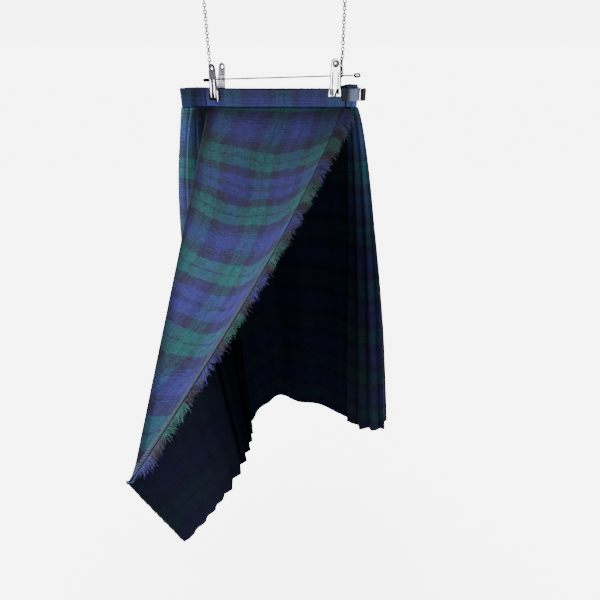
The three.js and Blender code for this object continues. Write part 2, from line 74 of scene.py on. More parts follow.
ROD_LEFT = np.array([-96.0, 12.0, 41.0])
ROD_RIGHT = np.array([143.0, 6.2, 47.6])
CHAIN_LEFT_X = -92.0
CHAIN_RIGHT_X = 124.0
CHAIN_TOP = 166.0
HOOK_INNER = 6.5
HOOK_WIRE = 1.3
HOOK_SHANK = 5.0
SEAM_GAP = 0.3

TARTAN_SLOT = "tartan_cloth"
FRINGE_SLOT = "fringe_yarn"
LEATHER_SLOT = "strap_leather"
METAL_SLOT = "bright_metal"
RUBBER_SLOT = "black_rubber"


# ------------------------------------------------------------------ small geometry helpers
def rod_point(x: float) -> np.ndarray:
    """Return the point of the hanger rod's axis at an X, in band millimetres."""
    return ROD_LEFT + (ROD_RIGHT - ROD_LEFT) * ((x - ROD_LEFT[0]) / (ROD_RIGHT[0] - ROD_LEFT[0]))


HOLD = np.array([
    (CHAIN_LEFT_X + CHAIN_RIGHT_X) / 2 + HOOK_INNER + HOOK_WIRE,
    (rod_point(CHAIN_LEFT_X)[1] + rod_point(CHAIN_RIGHT_X)[1]) / 2,
    CHAIN_TOP + SEAM_GAP + HOOK_SHANK + HOOK_INNER,
])


def placed(points: np.ndarray) -> np.ndarray:
    """Turn band millimetres into metres of the shared frame."""
    return (np.asarray(points, dtype=float) - HOLD) * MM


def lerp(low: Number, high: Number, part: Number) -> Number:
    """Mix two values by a part from 0 to 1."""
    return low + (high - low) * part


def smooth(low: float, high: float, value: Number) -> Number:
    """Return a soft step that rises from 0 at low to 1 at high."""
    part = np.clip((np.asarray(value, dtype=float) - low) / (high - low), 0.0, 1.0)
    return part * part * (3 - 2 * part)


def bell(value: Number, centre: float, width: float) -> Number:
    """Return a soft hump that is 1 at its centre and falls to 0 on both sides."""
    return np.exp(-((value - centre) / width) ** 2)


def ring_angles(count: int) -> np.ndarray:
    """Return evenly spaced angles round a full turn."""
    return np.linspace(0, 2 * math.pi, count, endpoint=False)


def rounded_box(angle: np.ndarray, power: float, half_width: float,
                half_height: float) -> tuple[np.ndarray, np.ndarray]:
    """Return a rounded box's outline.

    Args:
        angle: The angles round it.
        power: How round its corners are; a smaller number makes them sharper.
        half_width: Half its width.
        half_height: Half its height.

    Returns:
        The outline's two coordinates.
    """
    x = np.sign(np.cos(angle)) * np.abs(np.cos(angle)) ** power * half_width
    return x, np.sign(np.sin(angle)) * np.abs(np.sin(angle)) ** power * half_height


def level_side(run: np.ndarray) -> np.ndarray:
    """Return the level directions on the left of a run."""
    return np.stack([-run[:, 1], run[:, 0], np.zeros(len(run))], axis=1)


def run_lengths(line: np.ndarray) -> np.ndarray:
    """Return how far along a line each of its points lies."""
    return np.concatenate([[0.0], np.cumsum(np.linalg.norm(np.diff(line, axis=0), axis=1))])


def unit(vectors: np.ndarray) -> np.ndarray:
    """Return vectors brought to length one along their last axis."""
    length = np.linalg.norm(vectors, axis=-1, keepdims=True)
    return vectors / np.maximum(length, 1e-9)


def ripple(along: np.ndarray, seed: int, waves: int = 5, shortest: float = 0.2) -> np.ndarray:
    """Return a repeatable soft wobble between about -1 and 1.

    Args:
        along: Where it is wanted, in any unit.
        seed: Which wobble.
        waves: How many sines make it up.
        shortest: The shortest wave, in the unit of along.

    Returns:
        The wobble, in the shape of along.
    """
    rng = np.random.default_rng(seed)
    total = np.zeros_like(np.asarray(along, dtype=float))
    growth, shortest_weight, more_weight = 1.6, 0.6, 0.1
    for k in range(waves):
        length = shortest * (growth ** k)
        wave = np.sin(2 * math.pi * along / length + rng.uniform(0, 6.28))
        total = total + wave * (shortest_weight + more_weight * k)
    return total / waves


class SmoothCurve:
    """A centripetal Catmull-Rom curve through plan points."""

    def __init__(self, points: list[tuple[float, ...]]) -> None:
        """Keep the points and measure the curve.

        Args:
            points: The points, in plan millimetres.
        """
        self.points = np.array(points, dtype=float)
        steps = np.linspace(0, 1, 401)
        self.steps = steps
        self.lengths = run_lengths(self.at(steps))

    @property
    def length(self) -> float:
        """Return the length of the curve."""
        return float(self.lengths[-1])

    def at(self, part: Number) -> np.ndarray:
        """Return the points at parts of the row count.

        Args:
            part: Where, from 0 at the first point to 1 at the last.

        Returns:
            The points, one row each.
        """
        part = np.atleast_1d(np.asarray(part, dtype=float))
        count = len(self.points)
        place = np.clip(part, 0, 1) * (count - 1)
        k = np.minimum(np.floor(place).astype(int), count - 2)
        t = (place - k)[:, None]
        before, beyond = 2 * self.points[0] - self.points[1], 2 * self.points[-1] - self.points[-2]
        padded = np.vstack([before, self.points, beyond])
        p0, p1, p2, p3 = (padded[k + step] for step in range(4))
        gap = [np.maximum(np.linalg.norm(b - a, axis=1, keepdims=True) ** 0.5, 1e-4)
               for a, b in ((p0, p1), (p1, p2), (p2, p3))]
        start = ((p1 - p0) / gap[0] - (p2 - p0) / (gap[0] + gap[1]) + (p2 - p1) / gap[1]) * gap[1]
        end = ((p2 - p1) / gap[1] - (p3 - p1) / (gap[1] + gap[2]) + (p3 - p2) / gap[2]) * gap[1]
        cubic = p1 + start * t + (-3 * p1 + 3 * p2 - 2 * start - end) * t * t
        return cubic + (2 * p1 - 2 * p2 + start + end) * t ** 3

    def at_length(self, part: Number) -> np.ndarray:
        """Return the points at parts of the curve's length.

        Args:
            part: Where, from 0 to 1.

        Returns:
            The points, one row each.
        """
        wanted = np.clip(np.atleast_1d(np.asarray(part, dtype=float)), 0, 1) * self.lengths[-1]
        return self.at(np.interp(wanted, self.lengths, self.steps))


# ------------------------------------------------------------------ mesh makers
def new_object(name: str, points: np.ndarray, faces: list[Face], materials: list[Material],
               cloth: np.ndarray | None = None, slots: np.ndarray | None = None, crease: float = 40.0,
               shade: np.ndarray | None = None) -> Piece:
    """Make an object at the origin from band millimetres.

    Args:
        name: The piece's name.
        points: Its vertices, in band millimetres.
        faces: Its faces.
        materials: The materials of its slots.
        cloth: A cloth coordinate in millimetres for each vertex, across and down.
        slots: The material index of each face.
        crease: The angle in degrees over which an edge stays sharp.
        shade: The painted light and shade at each vertex, 1 for the finish's own tone.

    Returns:
        The new object, linked to the scene.
    """
    mesh = bpy.data.meshes.new(name)
    mesh.from_pydata(placed(points).tolist(), [], faces)
    for material in materials:
        mesh.materials.append(material)
    if slots is not None:
        mesh.polygons.foreach_set("material_index", np.asarray(slots, dtype=np.int32))
    layer = mesh.uv_layers.new(name="cloth")
    corners = np.empty(len(mesh.loops), dtype=np.int32)
    mesh.loops.foreach_get("vertex_index", corners)
    if cloth is None:
        span = points - points.min(axis=0)
        cloth = np.stack([span[:, 0] + span[:, 1], span[:, 2]], axis=1)
    layer.data.foreach_set("uv", (np.asarray(cloth)[corners] * MM).astype(np.float32).ravel())
    tone = mesh.attributes.new("shade", "FLOAT", "POINT")
    tones = np.ones(len(points)) if shade is None else shade
    tone.data.foreach_set("value", tones.astype(np.float32))
    mesh.polygons.foreach_set("use_smooth", np.ones(len(mesh.polygons), dtype=bool))
    mesh.set_sharp_from_angle(angle=math.radians(crease))
    mesh.validate()
    mesh.update()
    made = bpy.data.objects.new(name, mesh)
    bpy.context.scene.collection.objects.link(made)
    return made


def grid_normals(grid: np.ndarray) -> np.ndarray:
    """Return the normals of a grid of points.

    Args:
        grid: Points in rows and columns.

    Returns:
        The normals, from the differences between neighbours.
    """
    across = np.gradient(grid, axis=1)
    down = np.gradient(grid, axis=0)
    return unit(np.cross(across, down))


def cloth_shell(name: str, grid: np.ndarray, cloth: np.ndarray, materials: list[Material], crease: float,
                shade: np.ndarray | None = None, under: np.ndarray | None = None) -> Piece:
    """Make a thin closed sheet of cloth on a grid.

    Args:
        name: The piece's name.
        grid: Points in rows and columns, in band millimetres.
        cloth: The cloth coordinates of the same grid, in millimetres.
        materials: The face's and the back's materials.
        crease: The angle over which a fold is drawn sharp.
        shade: The painted light and shade on the cloth's face over the grid.
        under: The painted light and shade on its back, where that isn't the same.

    Returns:
        The cloth object.
    """
    rows, columns = grid.shape[:2]
    half = grid_normals(grid) * CLOTH_WALL / 2
    points = np.concatenate([(grid + half).reshape(-1, 3), (grid - half).reshape(-1, 3)])
    uv = np.concatenate([cloth.reshape(-1, 2), cloth.reshape(-1, 2)])
    number = np.arange(rows * columns).reshape(rows, columns)
    a, b = number[:-1, :-1].ravel(), number[:-1, 1:].ravel()
    c, d = number[1:, 1:].ravel(), number[1:, :-1].ravel()
    back = rows * columns
    front_faces = np.stack([a, b, c, d], axis=1)
    back_faces = np.stack([a, d, c, b], axis=1) + back
    edge = np.concatenate([number[0, :], number[1:, -1], number[-1, -2::-1], number[-2:0:-1, 0]])
    after = np.roll(edge, -1)
    rim = np.stack([edge, edge + back, after + back, after], axis=1)
    faces = np.concatenate([front_faces, back_faces, rim])
    slots = np.zeros(len(faces), dtype=np.int32)
    slots[len(front_faces):len(front_faces) + len(back_faces)] = 1
    both = None if shade is None else np.concatenate([shade.ravel(), (shade if under is None else under).ravel()])
    return new_object(name, points, [tuple(f) for f in faces.tolist()], materials, uv, slots, crease, both)


def ring_faces(rings: int, sides: int, closed: bool = False) -> list[Face]:
    """Return the faces between rings of vertices that follow one another.

    Args:
        rings: How many rings there are.
        sides: How many vertices each has.
        closed: Whether the last ring joins the first; if not, both ends are capped.

    Returns:
        The faces.
    """
    faces: list[Face] = []
    for k in range(rings if closed else rings - 1):
        low, high = k * sides, ((k + 1) % rings) * sides
        for i in range(sides):
            j = (i + 1) % sides
            faces.append((low + i, low + j, high + j, high + i))
    if not closed:
        faces.append(tuple(range(sides))[::-1])
        faces.append(tuple((rings - 1) * sides + i for i in range(sides)))
    return faces


def section_faces(rows: int, columns: int, flip: bool) -> list[Face]:
    """Return the faces of a closed section carried along a line, its two ends capped.

    Args:
        rows: How many vertices the section has.
        columns: How many steps the line has.
        flip: Whether the faces are turned over.

    Returns:
        The faces.
    """
    number = np.arange(rows * columns).reshape(rows, columns)
    after = np.roll(number, -1, axis=0)
    quads = np.stack([number[:, :-1], number[:, 1:], after[:, 1:], after[:, :-1]], axis=-1).reshape(-1, 4)
    faces = [tuple(quad) for quad in quads.tolist()]
    faces += [tuple(number[:, 0].tolist()), tuple(number[::-1, -1].tolist())]
    return [face[::-1] for face in faces] if flip else faces


def tube_mesh(path: np.ndarray, radii: Number, sides: int, closed: bool = False) -> Mesh:
    """Sweep a round section along a path.

    Args:
        path: Points in band millimetres.
        radii: The radius at each point, or one for all.
        sides: How many sides the section has.
        closed: Whether the path is a ring.

    Returns:
        The vertices and the faces.
    """
    path = np.asarray(path, dtype=float)
    count = len(path)
    ahead = np.roll(path, -1, axis=0) if closed else np.vstack([path[1:], 2 * path[-1] - path[-2]])
    behind = np.roll(path, 1, axis=0) if closed else np.vstack([2 * path[0] - path[1], path[:-1]])
    run = unit(ahead - behind)
    spread = path - path.mean(axis=0)
    _, _, axes = np.linalg.svd(spread, full_matrices=False)
    plane = axes[-1] if count > 2 and np.ptp(spread @ axes[1]) > 1e-3 else np.array([0.13, 0.97, 0.2])
    first = unit(np.cross(run, plane))
    second = np.cross(run, first)
    radii = np.broadcast_to(np.asarray(radii, dtype=float), (count,))
    angle = ring_angles(sides)
    ring = first[:, None] * np.cos(angle)[None, :, None] + second[:, None] * np.sin(angle)[None, :, None]
    points = (path[:, None] + ring * radii[:, None, None]).reshape(-1, 3)
    return points, ring_faces(count, sides, closed)


def long_ring(centre: np.ndarray, way: np.ndarray, reach: float, straight: float, across: np.ndarray, count: int,
              upright: bool = False) -> np.ndarray:
    """Return a ring with two straight sides.

    Args:
        centre: Its middle.
        way: Its long direction.
        reach: The radius of its round ends.
        straight: Half the length of its straight sides.
        across: Its short direction, as long as its half width.
        count: How many points it has.
        upright: Whether it starts on a straight side.

    Returns:
        The ring's points.
    """
    points = []
    for angle in (2 * math.pi * k / count for k in range(count)):
        far, wide = (math.sin(angle), math.cos(angle)) if upright else (math.cos(angle), math.sin(angle))
        points.append(centre + way * (reach * far + (straight if far > 0 else -straight)) + across * wide)
    return np.array(points)


def joined(parts: list[Mesh]) -> Mesh:
    """Join separate bits of mesh.

    Args:
        parts: The vertices and faces of each bit.

    Returns:
        One list of vertices and one of faces.
    """
    points, faces, start = [], [], 0
    for part_points, part_faces in parts:
        points.append(part_points)
        faces.extend(tuple(start + i for i in face) for face in part_faces)
        start += len(part_points)
    return np.concatenate(points), faces


@dataclass(frozen=True)
class Place:
    """A position and three directions that a flat drawing is put on."""

    origin: np.ndarray
    right: np.ndarray
    up: np.ndarray
    out: np.ndarray

    def points(self, local: np.ndarray) -> np.ndarray:
        """Turn local points into band millimetres."""
        return self.origin + local[:, :1] * self.right + local[:, 1:2] * self.up + local[:, 2:3] * self.out


def plate_mesh(outline: np.ndarray, depth: float, place: Place, bevel: float, hole: np.ndarray | None = None) -> Mesh:
    """Make a flat plate with softened edges, and a round hole if it has one.

    Args:
        outline: Its outline, as points of two numbers.
        depth: How thick it is.
        place: Where it goes.
        bevel: How far its edges are cut back.
        hole: The hole's outline, with as many points as the plate's own.

    Returns:
        The vertices and the faces.
    """
    centre = outline.mean(axis=0)
    inner = centre + (outline - centre) * (1 - bevel / np.linalg.norm(outline - centre, axis=1, keepdims=True))
    count = len(outline)
    rings = [(inner, 0.0), (outline, bevel), (outline, depth - bevel), (inner, depth)]
    if hole is not None:
        rings += [(hole, depth), (hole, 0.0)]
    points = np.concatenate([np.column_stack([ring, np.full(count, height)]) for ring, height in rings])
    return place.points(points), ring_faces(len(rings), count, hole is not None)


# ------------------------------------------------------------------ node tools
class Value:
    """A number in a material's node tree that can be used in sums."""

    def __init__(self, graph: "NodeGraph", socket: Socket) -> None:
        """Keep the graph and the socket."""
        self.graph = graph
        self.socket = socket

    def maths(self, operation: str, *others: "Value | float") -> "Value":
        """Add a Math node that starts with this value.

        Args:
            operation: The node's operation.
            others: Its other inputs.

        Returns:
            Its result.
        """
        node = self.graph.add("ShaderNodeMath", {"operation": operation}, dict(enumerate((self, *others))))
        return Value(self.graph, node.outputs[0])

    def __add__(self, other: "Value | float") -> "Value":
        """Add."""
        return self.maths("ADD", other)

    __radd__ = __add__

    def __sub__(self, other: "Value | float") -> "Value":
        """Take away."""
        return self.maths("SUBTRACT", other)

    def __rsub__(self, other: float) -> "Value":
        """Take this from a number."""
        return self.maths("MULTIPLY", -1.0) + other

    def __mul__(self, other: "Value | float") -> "Value":
        """Multiply."""
        return self.maths("MULTIPLY", other)

    __rmul__ = __mul__

    def __truediv__(self, other: float) -> "Value":
        """Divide by a number."""
        return self.maths("MULTIPLY", 1.0 / other)


class NodeGraph:
    """A material's nodes, made from Python."""

    def __init__(self, name: str) -> None:
        """Make an empty material.

        Args:
            name: The material's name.
        """
        self.material = bpy.data.materials.new(name)
        self.material.use_nodes = True
        self.tree = self.material.node_tree
        self.tree.nodes.clear()

    def add(self, kind: str, settings: dict[str, object] | None = None,
            inputs: dict[object, object] | None = None) -> bpy.types.Node:
        """Add one node.

        Args:
            kind: Its type.
            settings: Its own settings, or the stops of its colour ramp.
            inputs: The value or link of each socket, by name or number.

        Returns:
            The node.
        """
        node = self.tree.nodes.new(kind)
        for name, value in (settings or {}).items():
            if name == "stops":
                ramp = node.color_ramp
                ramp.elements.remove(ramp.elements[-1])
                for k, (position, colour) in enumerate(value):
                    stop = ramp.elements[0] if k == 0 else ramp.elements.new(position)
                    stop.position, stop.color = position, colour
            elif name == "interpolation":
                node.color_ramp.interpolation = value
            else:
                setattr(node, name, value)
        for key, value in (inputs or {}).items():
            socket = node.inputs[key]
            if isinstance(value, Value):
                self.tree.links.new(value.socket, socket)
            elif isinstance(value, bpy.types.NodeSocket):
                self.tree.links.new(value, socket)
            else:
                socket.default_value = value
        return node

    def mix(self, factor: "Value | float", first: object, second: object, blend: str = "MIX") -> Socket:
        """Mix two colours.

        Args:
            factor: How much of the second colour there is.
            first: The first colour.
            second: The second colour.
            blend: How they are blended.

        Returns:
            The mixed colour's socket.
        """
        node = self.add("ShaderNodeMix", {"data_type": "RGBA", "blend_type": blend}, {0: factor, 6: first, 7: second})
        return node.outputs[2]

    def toned(self, colour: object, tone: Value) -> Socket:
        """Return a colour made lighter or darker by a number."""
        return self.mix(1.0, colour, self.join(tone, tone, tone), "MULTIPLY")

    def noise(self, vector: object, scale: float, detail: float = 2.0, rough: float = 0.5) -> Value:
        """Add a noise.

        Args:
            vector: Where it is read.
            scale: How fine it is.
            detail: How many finer layers it has.
            rough: How strong these are.

        Returns:
            A number from 0 to 1.
        """
        inputs = {"Vector": vector, "Scale": scale, "Detail": detail, "Roughness": rough}
        return Value(self, self.add("ShaderNodeTexNoise", {}, inputs).outputs[0])

    def flat_noise(self, x: Value, y: Value, detail: float = 2.0, rough: float = 0.5, level: float = 0.0) -> Value:
        """Return a noise from 0 to 1 over two numbers, at a level of its own."""
        return self.noise(self.join(x, y, level), 1.0, detail, rough)

    def cloth_axes(self) -> tuple[Value, Value]:
        """Return the cloth coordinates across and down, in millimetres."""
        split = self.add("ShaderNodeSeparateXYZ", {}, {0: self.add("ShaderNodeUVMap", {"uv_map": "cloth"}).outputs[0]})
        return Value(self, split.outputs[0]) * (1 / MM), Value(self, split.outputs[1]) * (1 / MM)

    def join(self, x: "Value | float", y: "Value | float", z: "Value | float" = 0.0) -> Socket:
        """Join three numbers into a vector."""
        return self.add("ShaderNodeCombineXYZ", {}, {0: x, 1: y, 2: z}).outputs[0]

    def shade(self) -> Value:
        """Return the painted light and shade here."""
        return Value(self, self.add("ShaderNodeAttribute", {"attribute_name": "shade"}).outputs["Fac"])

    def place(self) -> Socket:
        """Return the object's own coordinates."""
        return self.add("ShaderNodeTexCoord").outputs["Object"]

    def bump(self, height: Value, depth: float, strength: float = 1.0) -> Socket:
        """Return a normal raised by a height of up to depth metres."""
        return self.add("ShaderNodeBump", {}, {"Strength": strength, "Distance": depth, "Height": height}).outputs[0]

    def surface(self, **inputs: object) -> Material:
        """Finish the material with a Principled shader.

        Args:
            inputs: The value or link of each socket, its name written with underscores.

        Returns:
            The material.
        """
        sockets = {key.replace("_", " "): value for key, value in inputs.items()}
        shader = self.add("ShaderNodeBsdfPrincipled", {}, sockets)
        self.add("ShaderNodeOutputMaterial", {}, {0: shader.outputs[0]})
        return self.material


def paint(colour: Colour, strength: float = 1.0) -> tuple[float, float, float, float]:
    """Turn a screen colour into an opaque linear one.

    Args:
        colour: Red, green and blue from 0 to 255.
        strength: What each is multiplied by.

    Returns:
        The linear colour with its alpha.
    """
    def linear(value: float) -> float:
        """Turn one channel."""
        part = value / 255
        return strength * (part / 12.92 if part <= 0.04045 else ((part + 0.055) / 1.055) ** 2.4)
    red, green, blue = colour
    return linear(red), linear(green), linear(blue), 1.0


# ------------------------------------------------------------------ finishes
class Yarn(Enum):
    """The dyed yarns of the cloth."""

    BLUE = (60, 58, 136)
    GREEN = (36, 106, 98)
    BLACK = (50, 46, 66)


# half of the sett, from the middle of one blue to the middle of the next: threads of each yarn
HALF_SETT = [
    (Yarn.BLUE, 11), (Yarn.BLACK, 2), (Yarn.BLUE, 2), (Yarn.BLACK, 2), (Yarn.BLUE, 2), (Yarn.BLACK, 16),
    (Yarn.GREEN, 16), (Yarn.BLACK, 2), (Yarn.GREEN, 16), (Yarn.BLACK, 16), (Yarn.BLUE, 16), (Yarn.BLACK, 2),
    (Yarn.BLUE, 1),
]
SETT_THREADS = sum(count for _, count in HALF_SETT)
GREEN_THREAD = SETT_THREADS / 2
ACROSS_REPEAT = 86.0
DOWN_REPEAT = 120.0
GREEN_ACROSS = 16.0
GREEN_DOWN = 112.0


@dataclass(frozen=True)
class TartanFinish:
    """Woven wool tartan in a 2/2 twill.

    Attributes:
        name: The material's name.
        light: The painted light and shade of this copy of the cloth, 1 for the yarns' own colours; the copies differ in
            it as their parts are lit or shaded.
        weave: How strongly single threads show.
        weft_share: How much of the colour is the weft's.
        even: How far the stripes are drawn towards one tone.
        tone: That tone.
        wander_length: Over what length the stripes wander, in millimetres.
        wander: How far they wander across and down, in millimetres.
        ragged_lengths: Over what lengths their edges are ragged, across and down.
        ragged: How ragged they are across and down, in millimetres.
        cloud_length: The size of the cloth's lighter and darker places.
        heather: How strongly the mixed fibres of the yarns show.
        rough: How matt it is.
        sheen: How much its nap lights up at a slant.
        shine: How much it shines.
    """

    name: str
    light: float
    weave: float = 0.28
    weft_share: float = 0.68
    even: float = 0.25
    tone: Colour = (58, 66, 98)
    wander_length: float = 70.0
    wander: tuple[float, float] = (9.0, 12.0)
    ragged_lengths: tuple[float, float] = (9.0, 5.0)
    ragged: tuple[float, float] = (6.0, 7.0)
    cloud_length: float = 60.0
    heather: float = 1.3
    rough: float = 0.88
    sheen: float = 0.02
    shine: float = 0.03

    def stops(self) -> list[tuple[float, tuple[float, float, float, float]]]:
        """Return the colour stops of the half sett.

        Returns:
            Where each yarn begins, from 0 to 1, and its colour.
        """
        found, at = [], 0
        for yarn, count in HALF_SETT:
            found.append((at / SETT_THREADS, paint(yarn.value, self.light)))
            at += count
        return found

    def thread_colour(self, graph: NodeGraph, threads: Value) -> Socket:
        """Return the colour of the yarn at a thread count.

        Args:
            graph: The material's nodes.
            threads: How many threads lie between the middle of a blue stripe and here.

        Returns:
            The colour's socket.
        """
        place = threads.maths("PINGPONG", float(SETT_THREADS)) / SETT_THREADS
        ramp = {"interpolation": "CONSTANT", "stops": self.stops()}
        return graph.add("ShaderNodeValToRGB", ramp, {0: place}).outputs[0]

    def material(self) -> Material:
        """Build the material.

        Returns:
            The material.
        """
        graph = NodeGraph(self.name)
        across, down = graph.cloth_axes()
        wander = graph.flat_noise(across / self.wander_length, down / self.wander_length) - 0.5
        stray = graph.flat_noise(across / self.ragged_lengths[0], down / self.ragged_lengths[1]) - 0.5
        warp_threads, weft_threads = SETT_THREADS / ACROSS_REPEAT, SETT_THREADS / DOWN_REPEAT
        warp = across - GREEN_ACROSS + wander * self.wander[0] + stray * self.ragged[0]
        weft = down - GREEN_DOWN + wander * self.wander[1] + stray * self.ragged[1]
        warp, weft = warp * warp_threads + GREEN_THREAD, weft * weft_threads + GREEN_THREAD
        twill = ((warp + weft) / 4).maths("PINGPONG", 0.5) * 2
        over = self.weft_share + (twill - 0.5) * self.weave * 2
        colour = graph.mix(over, self.thread_colour(graph, warp), self.thread_colour(graph, weft))
        streak = graph.flat_noise(warp * 0.9, weft * 0.06, 1.0) * graph.flat_noise(warp * 0.06, weft * 0.9, 1.0)
        fuzz = graph.flat_noise(across * 0.6, down * 0.6, 3.0, 0.7)
        cloud = graph.flat_noise(across / self.cloud_length, down / self.cloud_length, level=3.0)
        fibres_across = graph.flat_noise(across / 14, down / 1.5, 2.0, 0.6)
        fibres = fibres_across + graph.flat_noise(across / 1.7, down / 16, 2.0, 0.6) * 0.6
        tone = fibres * self.heather + streak * 0.9 + fuzz * 0.75 + cloud * 0.25 + 0.25 - self.heather * 0.8
        muted = graph.mix(self.even, colour, paint(self.tone, self.light))
        normal = graph.bump(twill * 0.6 + fuzz * 0.7, 0.0004, 0.5)
        return graph.surface(Base_Color=graph.toned(muted, tone * graph.shade()), Roughness=self.rough, Normal=normal,
                             Sheen_Weight=self.sheen, Sheen_Roughness=0.5, Specular_IOR_Level=self.shine)


@dataclass(frozen=True)
class FringeFinish:
    """Loose weft yarns, each in the colour of its own stripe."""

    name: str = "fringe_wool"
    light: float = 0.42
    faded: float = 0.25
    tone: Colour = (84, 80, 96)

    def material(self) -> Material:
        """Build the material.

        Returns:
            The material.
        """
        graph = NodeGraph(self.name)
        across, down = graph.cloth_axes()
        weft = (down - GREEN_DOWN) * (SETT_THREADS / DOWN_REPEAT) + GREEN_THREAD
        colour = TartanFinish("fringe_yarns", self.light).thread_colour(graph, weft)
        tone = (0.55 + graph.flat_noise(across * 0.7, down * 3.1, 3.0) * 1.1) * graph.shade()
        muted = graph.mix(self.faded, colour, paint(self.tone, self.light))
        ply = (across + down * 0.4).maths("PINGPONG", 0.5) * 2
        return graph.surface(Base_Color=graph.toned(muted, tone), Roughness=0.9, Normal=graph.bump(ply, 0.0002),
                             Sheen_Weight=0.06, Specular_IOR_Level=0.1)


@dataclass(frozen=True)
class ThreadFinish:
    """Sewing thread of one colour."""

    name: str
    colour: Colour

    def material(self) -> Material:
        """Build the material.

        Returns:
            The material.
        """
        graph = NodeGraph(self.name)
        toned = graph.toned(paint(self.colour), 0.75 + graph.noise(graph.place(), 900.0) * 0.5)
        return graph.surface(Base_Color=toned, Roughness=0.85, Specular_IOR_Level=0.03)


@dataclass(frozen=True)
class LeatherFinish:
    """Smooth dark strap leather with patches of wear, its colour multiplied by the painted light and shade of its
    piece.
    """

    name: str
    colour: Colour
    shine: float
    rough: float = 0.5

    def material(self) -> Material:
        """Build the material.

        Returns:
            The material.
        """
        graph = NodeGraph(self.name)
        cells = graph.add("ShaderNodeTexVoronoi", {"feature": "DISTANCE_TO_EDGE"},
                          {"Vector": graph.place(), "Scale": 1400.0})
        grain = Value(graph, cells.outputs[0])
        wear = graph.noise(graph.place(), 160.0, 4.0, 0.6)
        toned = graph.toned(paint(self.colour), (0.7 + wear * 0.6) * graph.shade())
        return graph.surface(Base_Color=toned, Roughness=self.rough + (wear - 0.5) * 0.25,
                             Normal=graph.bump(grain, 0.0002, 0.4), Specular_IOR_Level=self.shine)


@dataclass(frozen=True)
class MetalFinish:
    """Bright plated steel with faint scuffs."""

    name: str
    colour: Colour = (214, 212, 218)
    rough: float = 0.2

    def material(self) -> Material:
        """Build the material.

        Returns:
            The material.
        """
        graph = NodeGraph(self.name)
        scuff = graph.noise(graph.place(), 420.0, 4.0, 0.65)
        toned = graph.toned(paint(self.colour), 0.85 + scuff * 0.3)
        return graph.surface(Base_Color=toned, Metallic=1.0, Roughness=self.rough + (scuff - 0.5) * 0.2,
                             Normal=graph.bump(scuff, 0.00005, 0.3))


@dataclass(frozen=True)
class RubberFinish:
    """Dull black rubber or dipped plastic."""

    name: str = "black_rubber_dull"
    colour: Colour = (12, 12, 14)

    def material(self) -> Material:
        """Build the material.

        Returns:
            The material.
        """
        graph = NodeGraph(self.name)
        grain = graph.noise(graph.place(), 1500.0, 3.0)
        toned = graph.toned(paint(self.colour), 0.8 + grain * 0.4)
        return graph.surface(Base_Color=toned, Roughness=0.6 + grain * 0.2, Normal=graph.bump(grain, 0.0001, 0.3),
                             Specular_IOR_Level=0.0, IOR=1.0)


class Finishes:
    """Every material of the skirt, made once."""

    def __init__(self) -> None:
        """Make the materials."""
        # The six tartans are copies of one cloth that differ in painted light and shade. The face, left and band copies
        # are painted lit. The back, inside and right copies are painted in shade, and the back and inside copies are
        # drawn most of the way to a flat navy, as cloth in deep shade shows little pattern.
        self.tartan = TartanFinish("tartan_face_painted_light", 0.285, even=0.34, tone=(66, 70, 106)).material()
        self.shaded = TartanFinish("tartan_back_painted_shade", 0.07, even=0.85, tone=(56, 58, 84), heather=0.6,
                                   sheen=0.0, shine=0.0).material()
        self.inside = TartanFinish("tartan_inside_painted_shade", 0.034, even=0.75, tone=(48, 52, 84), heather=0.6,
                                   sheen=0.0, shine=0.0).material()
        self.right = TartanFinish("tartan_right_painted_shade", 0.25, even=0.5, tone=(54, 62, 100), heather=0.8,
                                  sheen=0.0, shine=0.01).material()
        self.left = TartanFinish("tartan_left_painted_light", 0.52, even=0.45, tone=(56, 76, 102)).material()
        self.band = TartanFinish("tartan_band_painted_light", 0.52, even=0.5, tone=(58, 64, 104), heather=0.7).material()
        self.fringe = FringeFinish().material()
        self.dark_thread = ThreadFinish("dark_thread", (14, 15, 26)).material()
        self.pale_thread = ThreadFinish("pale_thread", (84, 92, 110)).material()
        self.leather = LeatherFinish("strap_leather_dark", (26, 29, 38), shine=0.06).material()
        self.keeper = LeatherFinish("keeper_leather", (11, 10, 13), shine=0.08).material()
        self.metal = MetalFinish("bright_plating").material()
        self.steel = MetalFinish("dull_steel", (48, 46, 53), 0.35).material()
        self.rubber = RubberFinish().material()


def dress(piece: Piece, slot: str, *nodes: str) -> Piece:
    """Let a piece ride with the skirt and hide the nodes it stands for.

    Args:
        piece: The object.
        slot: The record's material slot; not used.
        nodes: The nodes that it replaces.

    Returns:
        The same object.
    """
    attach(piece, "root")
    if nodes:
        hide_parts(*nodes)
    LOG.info("%s: %d faces", piece.name, len(piece.data.polygons))
    return piece


# ------------------------------------------------------------------ over-apron
FRONT_PLAN = [(131, 0, 0), (60, 0, 0), (-10, 0, 0), (-54, 0, 0), (-72, 1.4, 0), (-94, 9.4, 0), (-102, 12, 0)]


